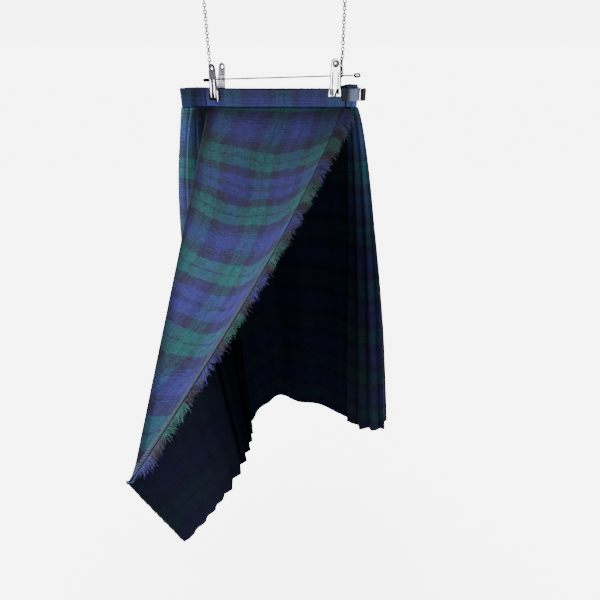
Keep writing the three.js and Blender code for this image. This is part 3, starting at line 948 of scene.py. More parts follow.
@dataclass
class OverApron:
    """The lifted front panel: a sheet between its free edge and a ridge, and what hangs from the ridge.

    In its methods t goes down the free edge from the seam, 0, to the lifted point, 1, inward goes from
    the free edge to the ridge, and fall goes from the ridge to the hem.
    """

    finishes: Finishes
    lifted: float = 646.0
    lift: tuple[float, float, float] = (-0.341, -0.874, -0.345)
    ridge_back: float = -100.0
    ridge_front: float = -92.0
    ridge_round: float = 6.0
    ridge_settle: float = 9.0
    tip_width: float = 5.0
    sag: float = 32.0
    lean_back: float = 36.0
    lean_front: float = 32.0
    lean_middle: float = 15.0
    belly: float = 10.0
    edge_bow: float = 8.0
    edge_sag: float = 12.0
    back_hem: float = 7.0
    tip_hem: float = 14.0
    tip_rise: float = 4.0
    opened: int = 6
    opened_reach: float = 0.75
    opened_depth: float = 9.0
    fold_depth: float = 1.5
    fold_length: float = 13.0
    gather_depth: float = 0.9
    gather_length: float = 9.0
    drawn_in: float = 1.45
    drawn_from: float = 0.14
    edge_stray: float = 19.0
    stripe_rise: float = 10.0
    stripe_fall: float = 9.0
    hem_start: float = 11.0
    hem_run: float = 640.0
    plain_wave: float = 1.6
    stitch_in: float = 1.6
    stitch_length: float = 2.6
    overlock_from: float = 330.0
    overlock_step: float = 1.65
    yarns: int = 3400
    yarn_steps: int = 4
    yarn_sides: int = 4
    yarn_radius: float = 0.36
    tuft: float = 2.9
    stations: int = 170
    sheet_columns: int = 54
    round_columns: int = 6
    hang_columns: int = 60
    seam: SmoothCurve = field(default_factory=lambda: SmoothCurve(FRONT_PLAN))

    def lift_line(self, t: np.ndarray) -> np.ndarray:
        """Return the straight line from the seam to the lifted point.

        Args:
            t: Where, down the free edge.

        Returns:
            The points.
        """
        away = unit(np.array(self.lift))
        return self.seam.at_length(0.0)[0] + np.asarray(t)[:, None] * away * self.lifted

    def edge(self, t: np.ndarray) -> np.ndarray:
        """Return the free edge, which bows out and sags between its two held ends.

        Args:
            t: Where, down the free edge.

        Returns:
            The points.
        """
        bow = np.sin(math.pi * np.asarray(t))[:, None]
        return self.lift_line(t) + bow * np.array([self.edge_bow, 0.0, -self.edge_sag])

    def ridge(self, t: np.ndarray) -> np.ndarray:
        """Return the ridge beside the free edge.

        Args:
            t: Where, down the free edge.

        Returns:
            The points.
        """
        edge, start = self.lift_line(t), self.seam.at_length(1.0)[0]
        away = 1 - np.exp(-t * self.ridge_settle)
        level = lerp(start[0], lerp(self.ridge_back, self.ridge_front, t), away)
        x = np.minimum(level, edge[:, 0] - self.tip_width)
        return np.stack([x, edge[:, 1] + start[1] * (1 - away), edge[:, 2]], axis=1)

    def hem(self, t: np.ndarray) -> np.ndarray:
        """Return the hem below the ridge.

        Args:
            t: Where, down the free edge.

        Returns:
            The points.
        """
        top = self.ridge(t)
        lean = lerp(self.lean_back, self.lean_front, t) + self.lean_middle * np.sin(math.pi * t)
        low = self.tip_rise * t - self.belly * np.sin(math.pi * t * t)
        drop = SKIRT_DROP - self.lifted * t - low
        return top + np.stack([lean, lerp(-self.back_hem, self.tip_hem, t), -drop], axis=1)

    def opened_pleat(self, t: np.ndarray) -> np.ndarray:
        """Return the in and out of the opened pleats.

        Args:
            t: Where, down the free edge.

        Returns:
            How far out the cloth is, from -0.5 to 0.5.
        """
        phase = (t / self.opened_reach) * self.opened + 1e-6
        part = phase - np.floor(phase)
        face = 2 / 3
        out = np.where(part < face, part / face - 0.5, 0.5 - (part - face) / (1 - face))
        return np.where(t >= self.opened_reach, 0.0, out)

    def spread(self, t: np.ndarray) -> np.ndarray:
        """Return how much the cloth is drawn together across the sheet."""
        return 1 + self.drawn_in * np.maximum(t - self.drawn_from, 0)

    def drift(self, t: np.ndarray) -> np.ndarray:
        """Return how far the frayed edge wanders across the stripes."""
        return self.edge_stray * smooth(0.15, 0.5, t)

    def sheet(self, t: np.ndarray, inward: np.ndarray) -> tuple[np.ndarray, np.ndarray]:
        """Return the sheet between the free edge and the ridge.

        Args:
            t: Where, down the free edge.
            inward: Where, from the edge to the ridge.

        Returns:
            The points and their cloth coordinates.
        """
        edge, ridge = self.edge(t), self.ridge(t)
        point = lerp(edge, ridge, inward[:, None])
        near = np.clip(1 - t / 0.08, 0, 1)[:, None]
        point = lerp(point, self.seam.at_length(inward), near)
        hollow = np.sin(math.pi * inward ** 0.85) * np.sin(math.pi * t ** 0.75)
        across = edge[:, 0] - point[:, 0]
        width = np.sin(math.pi * inward)
        folds = self.fold_depth * np.sin(across / self.fold_length + 0.8 * np.sin(t * 7)) * width
        folds = folds * smooth(0, 0.12, t) * (1 - smooth(0.7, 1, t))
        gathers = self.gather_depth * ripple(across, 4, 4, self.gather_length)
        gathers = gathers * np.exp(-t * 16) * smooth(0, 0.02, t)
        point[:, 2] -= TOP_GAP + self.sag * hollow + folds + gathers
        u = across * self.spread(t) + self.drift(t)
        rise = self.stripe_rise * smooth(0.3, 0.0, inward) * smooth(0.05, 0.35, t)
        v = self.lifted * t + rise - self.stripe_fall * smooth(0.4, 1.0, inward) * smooth(0.05, 0.3, t)
        return point, np.stack([u, v], axis=1)

    def hanging(self, t: np.ndarray, fall: np.ndarray) -> tuple[np.ndarray, np.ndarray]:
        """Return the part that hangs from the ridge.

        Args:
            t: Where, down the free edge.
            fall: Where, from the ridge to the hem.

        Returns:
            The points and their cloth coordinates.
        """
        ridge, hem, edge = self.ridge(t), self.hem(t), self.edge(t)
        point = lerp(ridge, hem, fall[:, None])
        point[:, 0] += self.opened_depth * self.opened_pleat(t) * np.clip(fall * 1.4, 0, 1) * np.clip(t * 8, 0, 1)
        point[:, 2] -= TOP_GAP * (1 - fall)
        plain = smooth(0.74, 0.8, t)
        wave = self.plain_wave * np.sin(t * 95 + 3 * fall) * plain
        point[:, 0] += wave * smooth(0.1, 0.6, fall) * smooth(1.0, 0.93, t)
        top_u = (edge[:, 0] - ridge[:, 0]) * self.spread(t) + self.drift(t)
        hem_u = self.hem_start + self.hem_run * (1 - t)
        drop = SKIRT_DROP - self.lifted * t
        v = self.lifted * t - self.stripe_fall * smooth(0.05, 0.3, t) + fall * (drop + self.stripe_fall)
        return point, np.stack([lerp(top_u, hem_u, fall ** 0.8), v], axis=1)

    def grid(self) -> tuple[np.ndarray, np.ndarray]:
        """Return the whole panel.

        Returns:
            Its points and cloth coordinates, a row for each station along the free edge.
        """
        t = np.linspace(0, 1, self.stations + 1)
        edge, ridge, hem = self.edge(t), self.ridge(t), self.hem(t)
        width = np.linalg.norm(edge - ridge, axis=1)
        drop = np.linalg.norm(hem - ridge, axis=1)
        bend = np.minimum(self.ridge_round * np.clip(t * 14, 0, 1), width * 0.6)
        before, after = 1 - bend / width, np.maximum(bend, 3) / drop
        columns = []
        for i in range(self.sheet_columns + 1):
            columns.append(self.sheet(t, before * i / self.sheet_columns))
        start, start_uv = columns[-1]
        end, end_uv = self.hanging(t, after)
        corner = ridge - np.array([0, 0, TOP_GAP])
        for i in range(1, self.round_columns):
            part = i / self.round_columns
            point = start * (1 - part) ** 2 + corner * 2 * part * (1 - part) + end * part ** 2
            columns.append((point, lerp(start_uv, end_uv, part)))
        for i in range(self.hang_columns + 1):
            columns.append(self.hanging(t, lerp(after, 1.0, i / self.hang_columns)))
        return np.stack([c[0] for c in columns], axis=1), np.stack([c[1] for c in columns], axis=1)

    def edge_frames(self, lengths: np.ndarray) -> tuple[np.ndarray, np.ndarray, np.ndarray, np.ndarray]:
        """Return points of the free edge and three directions there.

        Args:
            lengths: Distances along the edge from the seam, in millimetres.

        Returns:
            The points, and the directions out of the cloth, up from its face and down along the edge.
        """
        def at(length: np.ndarray, inner: float) -> np.ndarray:
            """Return points of the cloth beside its free edge.

            Args:
                length: How far along the edge.
                inner: How far in from it.

            Returns:
                The points.
            """
            t = np.clip(length / self.lifted, 0, 1)
            fall = np.clip((length - self.lifted) / (SKIRT_DROP - self.lifted), 0, 1)
            upper = self.sheet(t, np.full_like(t, inner))[0]
            lower = self.hanging(np.full_like(t, 1 - inner * 0.6), fall)[0]
            return np.where((length <= self.lifted)[:, None], upper, lower)
        here, inward = at(lengths, 0.0), at(lengths, 0.05)
        run = unit(at(np.minimum(lengths + 3, SKIRT_DROP), 0.0) - at(np.maximum(lengths - 3, 0), 0.0))
        inward = unit(inward - here)
        face = unit(np.cross(inward, run))
        out = unit(np.cross(face, run))
        out = np.where(np.sum(out * inward, axis=1, keepdims=True) > 0, -out, out)
        return here, out, face, run

    def face_light(self, t: np.ndarray, columns: np.ndarray) -> np.ndarray:
        """Return the painted light and shade on the panel's face.

        Args:
            t: Where, down the free edge.
            columns: The columns of the grid.

        Returns:
            The tone: painted light that brightens the cloth as it comes forward, and painted shade under the band and
                on the ridge.
        """
        inward = np.clip(columns / self.sheet_columns, 0, 1)
        top = smooth(0.24, 0.08, t)
        light = lerp(0.95, 1.95, t ** 1.1) * (1 + 0.26 * bell(t, 0.58, 0.17))
        light = light * (1 - 0.4 * smooth(0.35, 0.08, inward) * top)
        light = light * (1 - 0.6 * smooth(0.92, 1.0, inward) * smooth(0.24, 0.1, t))
        return light * (1 - 0.75 * bell(columns - self.sheet_columns, 4, 5.0))

    def back_light(self, t: np.ndarray, columns: np.ndarray) -> np.ndarray:
        """Return the painted light and shade on the panel's back.

        Args:
            t: Where, down the free edge.
            columns: The columns of the grid.

        Returns:
            The tone: painted shade at the top and in the two creases, with a painted highlight beside each crease.
        """
        fall = np.clip((columns - self.sheet_columns) / self.hang_columns, 0, 1)
        light = lerp(0.18, 1.0, smooth(0.3, 0.95, t)) * lerp(0.8, 1.15, fall)
        # painted shadow in each crease and a painted highlight just past it
        for crease, width in ((0.23, 0.011), (0.485, 0.009)):
            light = light * (1 - 0.8 * bell(t, crease, width) + 0.7 * bell(t - crease, 0.028, width))
        return light

    def build(self) -> None:
        """Make the panel, its fringe and its edge stitching."""
        points, cloth = self.grid()
        t = np.linspace(0, 1, points.shape[0])[:, None]
        columns = np.arange(points.shape[1])[None, :]
        # The panel's back takes the copy of the tartan painted in shade.
        panel = cloth_shell("over_apron_cloth", points, cloth, [self.finishes.tartan, self.finishes.shaded], 55,
                            self.face_light(t, columns), self.back_light(t, columns))
        dress(panel, TARTAN_SLOT, "over_apron")
        fringe = self.build_fringe()
        line = self.build_stitches()
        overlock = self.build_overlock()

    def fringe_paths(self, rng: np.random.Generator, lengths: np.ndarray,
                     hanging: np.ndarray) -> tuple[np.ndarray, np.ndarray, np.ndarray]:
        """Return where each loose yarn runs.

        Args:
            rng: What makes each yarn a little different.
            lengths: Where along the edge each yarn grows.
            hanging: How far each is past the lifted point.

        Returns:
            The points of each yarn, its reach and the cloth's face there.
        """
        here, out, face, run = self.edge_frames(lengths)
        down = lengths / SKIRT_DROP
        tuft = np.floor(lengths / self.tuft)
        lean = lerp(0.28, 0.05, down) + 0.22 * np.sin(tuft * 12.9898) + rng.normal(0, 0.16, self.yarns)
        reach = lerp(21, 14, down) + 2.4 * np.sin(tuft * 4.7) + rng.normal(0, 1.6, self.yarns)
        reach *= lerp(0.7, 1.0, smooth(0, 40, lengths)) * lerp(1.0, 0.28, hanging)
        reach *= 1 - 0.7 * bell(lengths, self.lifted, 10)
        droop = lerp(0.42, 0.32, down) + rng.normal(0, 0.08, self.yarns)
        lift = rng.normal(0, 0.1, self.yarns)
        paths = np.empty((self.yarns, self.yarn_steps + 1, 3))
        for k, part in enumerate(np.linspace(0, 1, self.yarn_steps + 1)):
            go = (reach * part)[:, None]
            step = out * go * lerp(1.0, 0.2, hanging)[:, None] + face * lift[:, None] * go
            step += run * go * (lean * part ** 0.4 + hanging)[:, None]
            step[:, 2] -= droop * reach * part ** 2
            paths[:, k] = here - out * 1.0 + step
        return paths, reach, face

    def build_fringe(self) -> Piece:
        """Make the loose weft yarns of the free edge.

        Returns:
            The yarns.
        """
        rng = np.random.default_rng(7)
        lengths = np.sort(rng.uniform(1, SKIRT_DROP - 6, self.yarns))
        hanging = smooth(self.lifted - 22, self.lifted + 4, lengths)
        paths, reach, face = self.fringe_paths(rng, lengths, hanging)
        parts = np.linspace(0, 1, self.yarn_steps + 1)
        along = unit(np.gradient(paths, axis=1))
        side = unit(np.cross(along, face[:, None, :]))
        up = np.cross(side, along)
        radius = self.yarn_radius * (1 - 0.6 * parts)[None, :, None, None]
        angle = ring_angles(self.yarn_sides)
        cos, sin = np.cos(angle)[None, None, :, None], np.sin(angle)[None, None, :, None]
        ring = side[:, :, None] * cos + up[:, :, None] * sin
        points = (paths[:, :, None] + ring * radius).reshape(-1, 3)
        per = (self.yarn_steps + 1) * self.yarn_sides
        block = np.array(ring_faces(self.yarn_steps + 1, self.yarn_sides))
        faces = (np.arange(self.yarns)[:, None, None] * per + block).reshape(-1, self.yarn_sides)
        shape = (self.yarns, self.yarn_steps + 1, self.yarn_sides)
        cloth = np.stack([np.broadcast_to((reach[:, None] * parts)[:, :, None], shape),
                          np.broadcast_to((lengths + 10)[:, None, None], shape)], axis=-1).reshape(-1, 2)
        # Painted shade: the yarns that hang past the lifted point are painted dark, and those near the seam darker than
        # the rest.
        light = np.repeat(lerp(1.0, 0.12, hanging) * lerp(0.5, 1.1, smooth(30, 420, lengths)), per)
        made = new_object("apron_fringe_yarns", points, [tuple(face) for face in faces.tolist()],
                          [self.finishes.fringe], cloth, crease=80, shade=light)
        return dress(made, FRINGE_SLOT, "apron_fringe")

    def build_stitches(self) -> Piece:
        """Make the dark machine stitches that hold the fringe.

        Returns:
            The stitches.
        """
        lengths = np.arange(2.0, SKIRT_DROP - 4, 0.65)
        here, out, face, _ = self.edge_frames(lengths)
        rise = CLOTH_WALL / 2 + 0.15 + 0.2 * np.abs(np.sin(lengths * math.pi / self.stitch_length))[:, None]
        points, faces = tube_mesh(here - out * self.stitch_in + face * rise, 0.5, 6)
        return dress(new_object("apron_edge_stitches", points, faces, [self.finishes.dark_thread]), TARTAN_SLOT)

    def build_overlock(self) -> Piece:
        """Make the pale zigzag beside the stitches.

        Returns:
            The zigzag.
        """
        lengths = np.arange(self.overlock_from, self.lifted - 6, self.overlock_step)
        t = lengths / self.lifted
        width = np.linalg.norm(self.edge(t) - self.ridge(t), axis=1)
        swing = np.arange(len(lengths)) % 2
        inward = np.minimum((2.4 + lerp(11.0, 5.6, smooth(430, 620, lengths)) * swing) / width, 0.8)
        path = self.sheet(np.clip(t + 3.4 * swing / self.lifted, 0, 1), inward)[0]
        path = path + self.edge_frames(lengths)[2] * (CLOTH_WALL / 2 + 0.15)
        points, faces = tube_mesh(path, lerp(0.14, 0.25, smooth(self.overlock_from, 470, lengths)), 4)
        return dress(new_object("apron_edge_overlock", points, faces, [self.finishes.pale_thread]), TARTAN_SLOT)


# ------------------------------------------------------------------ pleated cloth and under-apron
# one row for each place on the plan: waist x and y, hem x and y, power of the spread, share that spreads early
PLEAT_PLAN = [
    (-104.2, 12.6, -69.5, 5.6, 1.0, 0), (-112, 14, -104, 2, 1.0, 0.2), (-122, 12, -140, 2, 0.9, 0.6),
    (-130, 2, -168, 10, 0.8, 0.9), (-140, -1, -184, 36, 0.8, 1), (-144, 9, -180, 80, 0.8, 1),
    (-138, 23, -158, 118, 0.8, 0.6), (-116, 30, -116, 145, 0.8, 0.2), (-80, 18, -66, 160, 0.8, 0),
    (-45, 13, -4, 168, 0.8, 0), (20, 13, 74, 160, 0.8, 0), (80, 13, 146, 140, 0.8, 0),
    (116, 13, 210, 106, 0.8, 0), (138, 15, 256, 62, 0.76, 0), (149, 13, 272, 20, 0.74, 0),
    (151, 8, 260, 2, 0.74, 0), (146, 5, 232, 2, 0.76, 0), (139, 6, 206, 10, 0.8, 0),
    (133.5, 6.5, 180, 37, 0.8, 0),
]
UNDER_PLAN = [
    (133.6, 6.9, 184, 36, 0.8, 0), (100, 6.6, 125, 76, 0.8, 0), (55, 6.6, 58, 99, 0.8, 0), (0, 6.6, 0, 118, 0.8, 0),
    (-50, 6.6, -38, 92, 0.8, 0), (-72, 9, -61, 46, 0.9, 0), (-88, 14.6, -76, 15, 1.0, 0),
]


class HangingPlan:
    """A wall of cloth that hangs from one plan line and spreads to another at its hem."""

    def __init__(self, rows: list[tuple[float, ...]]) -> None:
        """Keep the plan's rows.

        Args:
            rows: The rows of the plan, as they are listed above.
        """
        self.waist = SmoothCurve([(row[0], row[1], 0) for row in rows])
        self.hem = SmoothCurve([(row[2], row[3], 0) for row in rows])
        self.flare = np.array([row[4] for row in rows])
        self.early = np.array([row[5] for row in rows])

    def at(self, along: np.ndarray, fall: float) -> np.ndarray:
        """Return a level row of the wall's points.

        Args:
            along: Where, along the plan, from 0 to 1.
            fall: How far down, from 0 at the seam to 1 at the hem.

        Returns:
            The points.
        """
        place = np.clip(along, 0, 1)
        rows = np.linspace(0, 1, len(self.flare))
        flare, early = np.interp(place, rows, self.flare), np.interp(place, rows, self.early)
        part = lerp(fall ** flare, 1 - (1 - fall) ** 6, early)[:, None]
        point = lerp(self.waist.at(place), self.hem.at(place), part)
        point[:, 2] = -TOP_GAP - (SKIRT_DROP - TOP_GAP) * fall
        return point

    def outward(self, along: np.ndarray, fall: float) -> np.ndarray:
        """Return the level directions away from the wearer.

        Args:
            along: Where, along the plan, from 0 to 1.
            fall: How far down, from 0 at the seam to 1 at the hem.

        Returns:
            The directions.
        """
        run = self.at(np.minimum(along + 0.004, 1), fall) - self.at(np.maximum(along - 0.004, 0), fall)
        return unit(level_side(run))


@dataclass(frozen=True)
class PleatedLength:
    """One sewn length of the pleated cloth.

    Attributes:
        side: Its side, as its piece and its node are named.
        first: Its first pleat.
        last: The pleat after its last.
        start: Its cloth coordinate across at its first edge.
        lift: How much higher its stripes sit, in millimetres.
        width: The flat width of what shows, in metres; not used.
        dark: Two places along the plan, and how light painted shade leaves the cloth at each.
        lower: How light painted shade leaves its hem, below a waist painted lighter.
        valley: How far painted shade darkens its upper part beside the panel.
    """

    side: str
    first: int
    last: int
    start: float
    lift: float
    width: float
    dark: tuple[float, float, float, float] = (0.0, 0.1, 0.3, 1.0)
    lower: float = 0.75
    valley: float = 0.0


@dataclass
class PleatedCloth:
    """The knife-pleated cloth from the left hip round the back to the right."""

    finishes: Finishes
    lengths: tuple[PleatedLength, ...] = (
        PleatedLength("left", 0, 6, 240, 10, 0.24, (0.0, 0.02, 0.6, 1.0), 0.48, 0.86),
        PleatedLength("back", 6, 12, 500, 4, 0.34),
        PleatedLength("right", 12, 18, 820, 0, 0.22, (0.84, 0.98, 1.0, 0.3), 0.34))
    count: int = 18
    face_columns: int = 12
    back_columns: int = 4
    rows: int = 90
    waist_depth: float = 2.2
    hem_depth: float = 10.0
    back: float = 0.2
    plan: HangingPlan = field(default_factory=lambda: HangingPlan(PLEAT_PLAN))

    def stations(self) -> tuple[np.ndarray, np.ndarray]:
        """Return the columns of all the pleats.

        Returns:
            Each column's place along the plan, and how far out it stands.
        """
        along, out = [], []
        for k in range(self.count):
            for i in range(self.face_columns):
                part = i / (self.face_columns - 1)
                along.append((k + part * (1 - self.back)) / self.count)
                out.append(part ** 1.15)
            for i in range(1, self.back_columns):
                part = i / self.back_columns
                along.append((k + 1 - self.back * (1 - part)) / self.count)
                out.append(1 - part)
        return np.array(along + [1.0]), np.array(out + [0.0])

    def light(self, length: PleatedLength, along: np.ndarray, out: np.ndarray) -> np.ndarray:
        """Return the painted light and shade of one length.

        Args:
            length: Which length.
            along: Its columns' places along the plan.
            out: How far out they stand.

        Returns:
            The tone: painted shade in the folds and on the pleat edges, towards the hem and where the panel shades it;
                painted light at the waist.
        """
        # Painted shade in each fold's hollow, and on the pleat's outer edge to dim its highlight.
        fold = (0.6 + 0.4 * smooth(0.0, 0.5, out)) * (1 - 0.35 * smooth(0.8, 1.0, out))
        begin, end, low, high = length.dark
        level = np.linspace(0, 1, self.rows + 1)[:, None]
        light = np.tile(lerp(low, high, smooth(begin, end, along)) * fold, (self.rows + 1, 1))
        shaded = length.valley * smooth(0.18, 0.06, along)[None, :] * smooth(0.24, 0.08, level)
        return light * (lerp(1.15, length.lower, smooth(0.04, 0.4, level)) * (1 - shaded))

    def build_length(self, length: PleatedLength, face: Material) -> None:
        """Make one sewn length.

        Args:
            length: Which length.
            face: The finish of its face.
        """
        along, out = self.stations()
        per = self.face_columns + self.back_columns - 1
        begin = length.first * per + (2 if length.first else 0)
        chosen = slice(begin, length.last * per + (3 if length.last < self.count else 1))
        along, out = along[chosen], out[chosen]
        grid, cloth = [], []
        for j in range(self.rows + 1):
            fall = (j / self.rows) ** 1.1
            depth = lerp(self.waist_depth, self.hem_depth, min(fall * 1.6, 1))
            base = self.plan.at(along, fall)
            sway = 1.8 * ripple(along * 40 + fall * 0.7, 11, 4, 1.4) * smooth(0.05, 0.5, fall)
            point = base + self.plan.outward(along, fall) * (depth * out + sway)[:, None]
            point[:, 2] += 2.0 * ripple(along * 18, 5, 3, 0.8) * smooth(0.8, 1.0, fall)
            grid.append(point)
            down = np.full(len(along), SKIRT_DROP * fall + length.lift)
            cloth.append(np.stack([length.start + run_lengths(base), down], axis=1))
        # The inner side takes the copy of the tartan painted in shade.
        piece = cloth_shell(f"pleats_{length.side}_cloth", np.stack(grid), np.stack(cloth),
                            [face, self.finishes.inside], 28, self.light(length, along, out))
        dress(piece, TARTAN_SLOT, f"pleated_{length.side}")

    def build(self) -> None:
        """Make the three lengths."""
        for length in self.lengths:
            # The right length takes the copy painted in shade, the others a lit copy.
            self.build_length(length, self.finishes.right if length.side == "right" else self.finishes.left)


@dataclass
class UnderApron:
    """The under-apron that wraps behind the over-apron."""

    finishes: Finishes
    columns: int = 110
    rows: int = 90
    fold_depth: float = 5.0
    folds: float = 3.5
    plan: HangingPlan = field(default_factory=lambda: HangingPlan(UNDER_PLAN))

    def build(self) -> None:
        """Make the panel."""
        along = np.linspace(0, 1, self.columns + 1)
        grid, cloth = [], []
        for j in range(self.rows + 1):
            fall = (j / self.rows) ** 1.1
            wave = self.fold_depth * fall * np.sin(math.pi * along) * np.sin(2 * math.pi * self.folds * along)
            wave += 1.2 * ripple(along * 12, 21, 4, 0.9) * smooth(0.1, 0.6, fall) * np.sin(math.pi * along)
            base = self.plan.at(along, fall)
            grid.append(base + self.plan.outward(along, fall) * wave[:, None])
            cloth.append(np.stack([run_lengths(base), np.full(len(base), SKIRT_DROP * fall)], axis=1))
        # Both sides take the copy of the tartan painted in shade.
        piece = cloth_shell("under_apron_cloth", np.stack(grid), np.stack(cloth), [self.finishes.inside] * 2, 50)
        dress(piece, TARTAN_SLOT, "under_apron")


# ------------------------------------------------------------------ waistband
@dataclass(frozen=True)
class BandLength:
    """One length of the waistband.

    Attributes:
        side: Its side, as its piece and its node are named.
        columns: How many steps it has.
        height: How high it stands.
        wall: How thick it is.
        start: Its cloth coordinate across at its start.
        sag: How far its top sinks in the middle.
        ruffle: How deep its gathers are at its start and its end.
        sign: 1 where its curve's left is the outside, and -1 where its right is.
        recess: How light painted shade leaves its start, where it is tucked behind the front.
        rise: How far its gathered top stands up near its end.
    """

    side: str
    columns: int
    height: float
    wall: float
    start: float
    sag: float
    ruffle: tuple[float, float]
    sign: int
    recess: float = 1.0
    rise: float = 0.0


@dataclass
class Waistband:
    """The folded band that the cloth hangs from."""

    finishes: Finishes
    top_round: float = 1.1
    cloth_down: float = 59.9
    seam_thread: float = 0.28
    hidden_thread: float = 0.55
    tack_at: tuple[float, float] = (-103.2, 12.3)
    front: BandLength = BandLength("front", 220, 28.0, 2.6, 0, 1.6, (0.25, 0.35), 1)
    back: BandLength = BandLength("back", 420, 28.0, 2.6, 240, 0, (0.3, 1.6), -1, 0.5, 6.0)
    under: BandLength = BandLength("under", 120, 27.0, 2.2, 0, 0, (0.2, 0.2), 1)

    def section(self, height: float, wall: float) -> np.ndarray:
        """Return the band's rounded cross-section.

        Args:
            height: How high it stands.
            wall: How thick it is.

        Returns:
            Pairs of out and up.
        """
        half, shoulder = wall / 2, height - self.top_round
        turn = np.linspace(0, math.pi, 7)
        top = np.stack([half * np.cos(turn), shoulder + self.top_round * np.sin(turn)], axis=1)
        front = np.stack([np.full(12, half), np.linspace(0.2, shoulder - 1, 12)], axis=1)
        back = np.stack([np.full(12, -half), np.linspace(shoulder - 1, 0.2, 12)], axis=1)
        return np.concatenate([front, top, back])

    def build_band(self, band: BandLength, curve: SmoothCurve, material: Material) -> None:
        """Make one length of band.

        Args:
            band: Which length.
            curve: The plan line it follows.
            material: Its finish.
        """
        part = np.linspace(0, 1, band.columns + 1)
        base = curve.at_length(part)
        out = level_side(unit(np.gradient(base, axis=0))) * band.sign
        section = self.section(band.height, band.wall)
        arc = part * curve.length
        deep = lerp(band.ruffle[0], band.ruffle[1], smooth(0.3, 0.9, part))
        crest = 0.3 * bell(part, 0.11, 0.02) + smooth(0.84, 0.9, part) * (1 - 0.5 * smooth(0.95, 1.0, part))
        gather = ripple(arc, 31, 4, 5.0) * deep
        sink = band.sag * np.sin(math.pi * part) + 0.5 * deep * ripple(arc, 17, 4, 4.0) - band.rise * crest
        points, cloth = [], []
        for offset, up in section:
            level = up / band.height
            puff = 0.15 * math.sin(math.pi * min(level * 1.05, 1))
            puff = puff + 0.35 * ripple(arc, 9, 3, 14.0) * math.sin(math.pi * level)
            point = base + out * (offset + (puff if offset > 0 else 0) + gather * (0.4 + 0.6 * level))[:, None]
            point[:, 2] = up - level * sink
            points.append(point)
            cloth.append(np.stack([band.start + arc, np.full_like(arc, self.cloth_down + up)], axis=1))
        # Painted shade at the tucked start and on the roll round the left hip, and painted light at the band's top
        # fading to shade at its foot.
        light = lerp(band.recess, 1.0, smooth(0.058, 0.088, part))
        if band.recess < 1:
            light = light * (1 - 0.62 * bell(part, 0.115, 0.035))
        light = np.tile(light, len(section)) * np.repeat(lerp(1.1, 0.8, section[:, 1] / band.height), len(part))
        made = new_object(f"waistband_{band.side}_cloth", np.concatenate(points),
                          section_faces(len(section), len(part), band.sign > 0), [material],
                          np.concatenate(cloth), crease=50, shade=light)
        dress(made, TARTAN_SLOT, f"waistband_{band.side}")

    def build(self) -> None:
        """Make the three lengths of band and the seam stitches."""
        front = SmoothCurve(FRONT_PLAN)
        back, under = (SmoothCurve([(row[0], row[1], 0) for row in plan]) for plan in (PLEAT_PLAN, UNDER_PLAN))
        self.build_band(self.front, front, self.finishes.band)
        self.build_band(self.back, back, self.finishes.band)
        # The under band takes the copy of the tartan painted in shade.
        self.build_band(self.under, under, self.finishes.inside)
        # The dark thread along the band's foot stands for both its stitching and the shadow in the groove under the
        # band: partly painted shadow.
        seam = front.at_length(np.linspace(0.005, 0.995, 160))
        seam[:, 1] -= self.front.wall / 2 + 0.25
        seam[:, 2] = 0.6
        seam = np.vstack([seam, seam[-1] + unit(seam[-1] - seam[-2]) * np.array([[2.0], [4.5]])])
        hidden = []
        for curve, end in ((front, back.at_length(0.0)), (back, under.at_length(0.0))):
            line = np.vstack([curve.at_length(np.linspace(0.0, 1.0, 420)), end])
            line[:, 2] = -TOP_GAP / 2
            hidden.append(tube_mesh(line, self.hidden_thread, 6))
        tack = np.array([[*self.tack_at, z] for z in np.linspace(-3.0, self.front.height - 2.5, 12)])
        points, faces = joined([tube_mesh(seam, self.seam_thread, 5), tube_mesh(tack, 1.0, 8), *hidden])
        dress(new_object("waist_seam_thread", points, faces, [self.finishes.dark_thread]), TARTAN_SLOT)


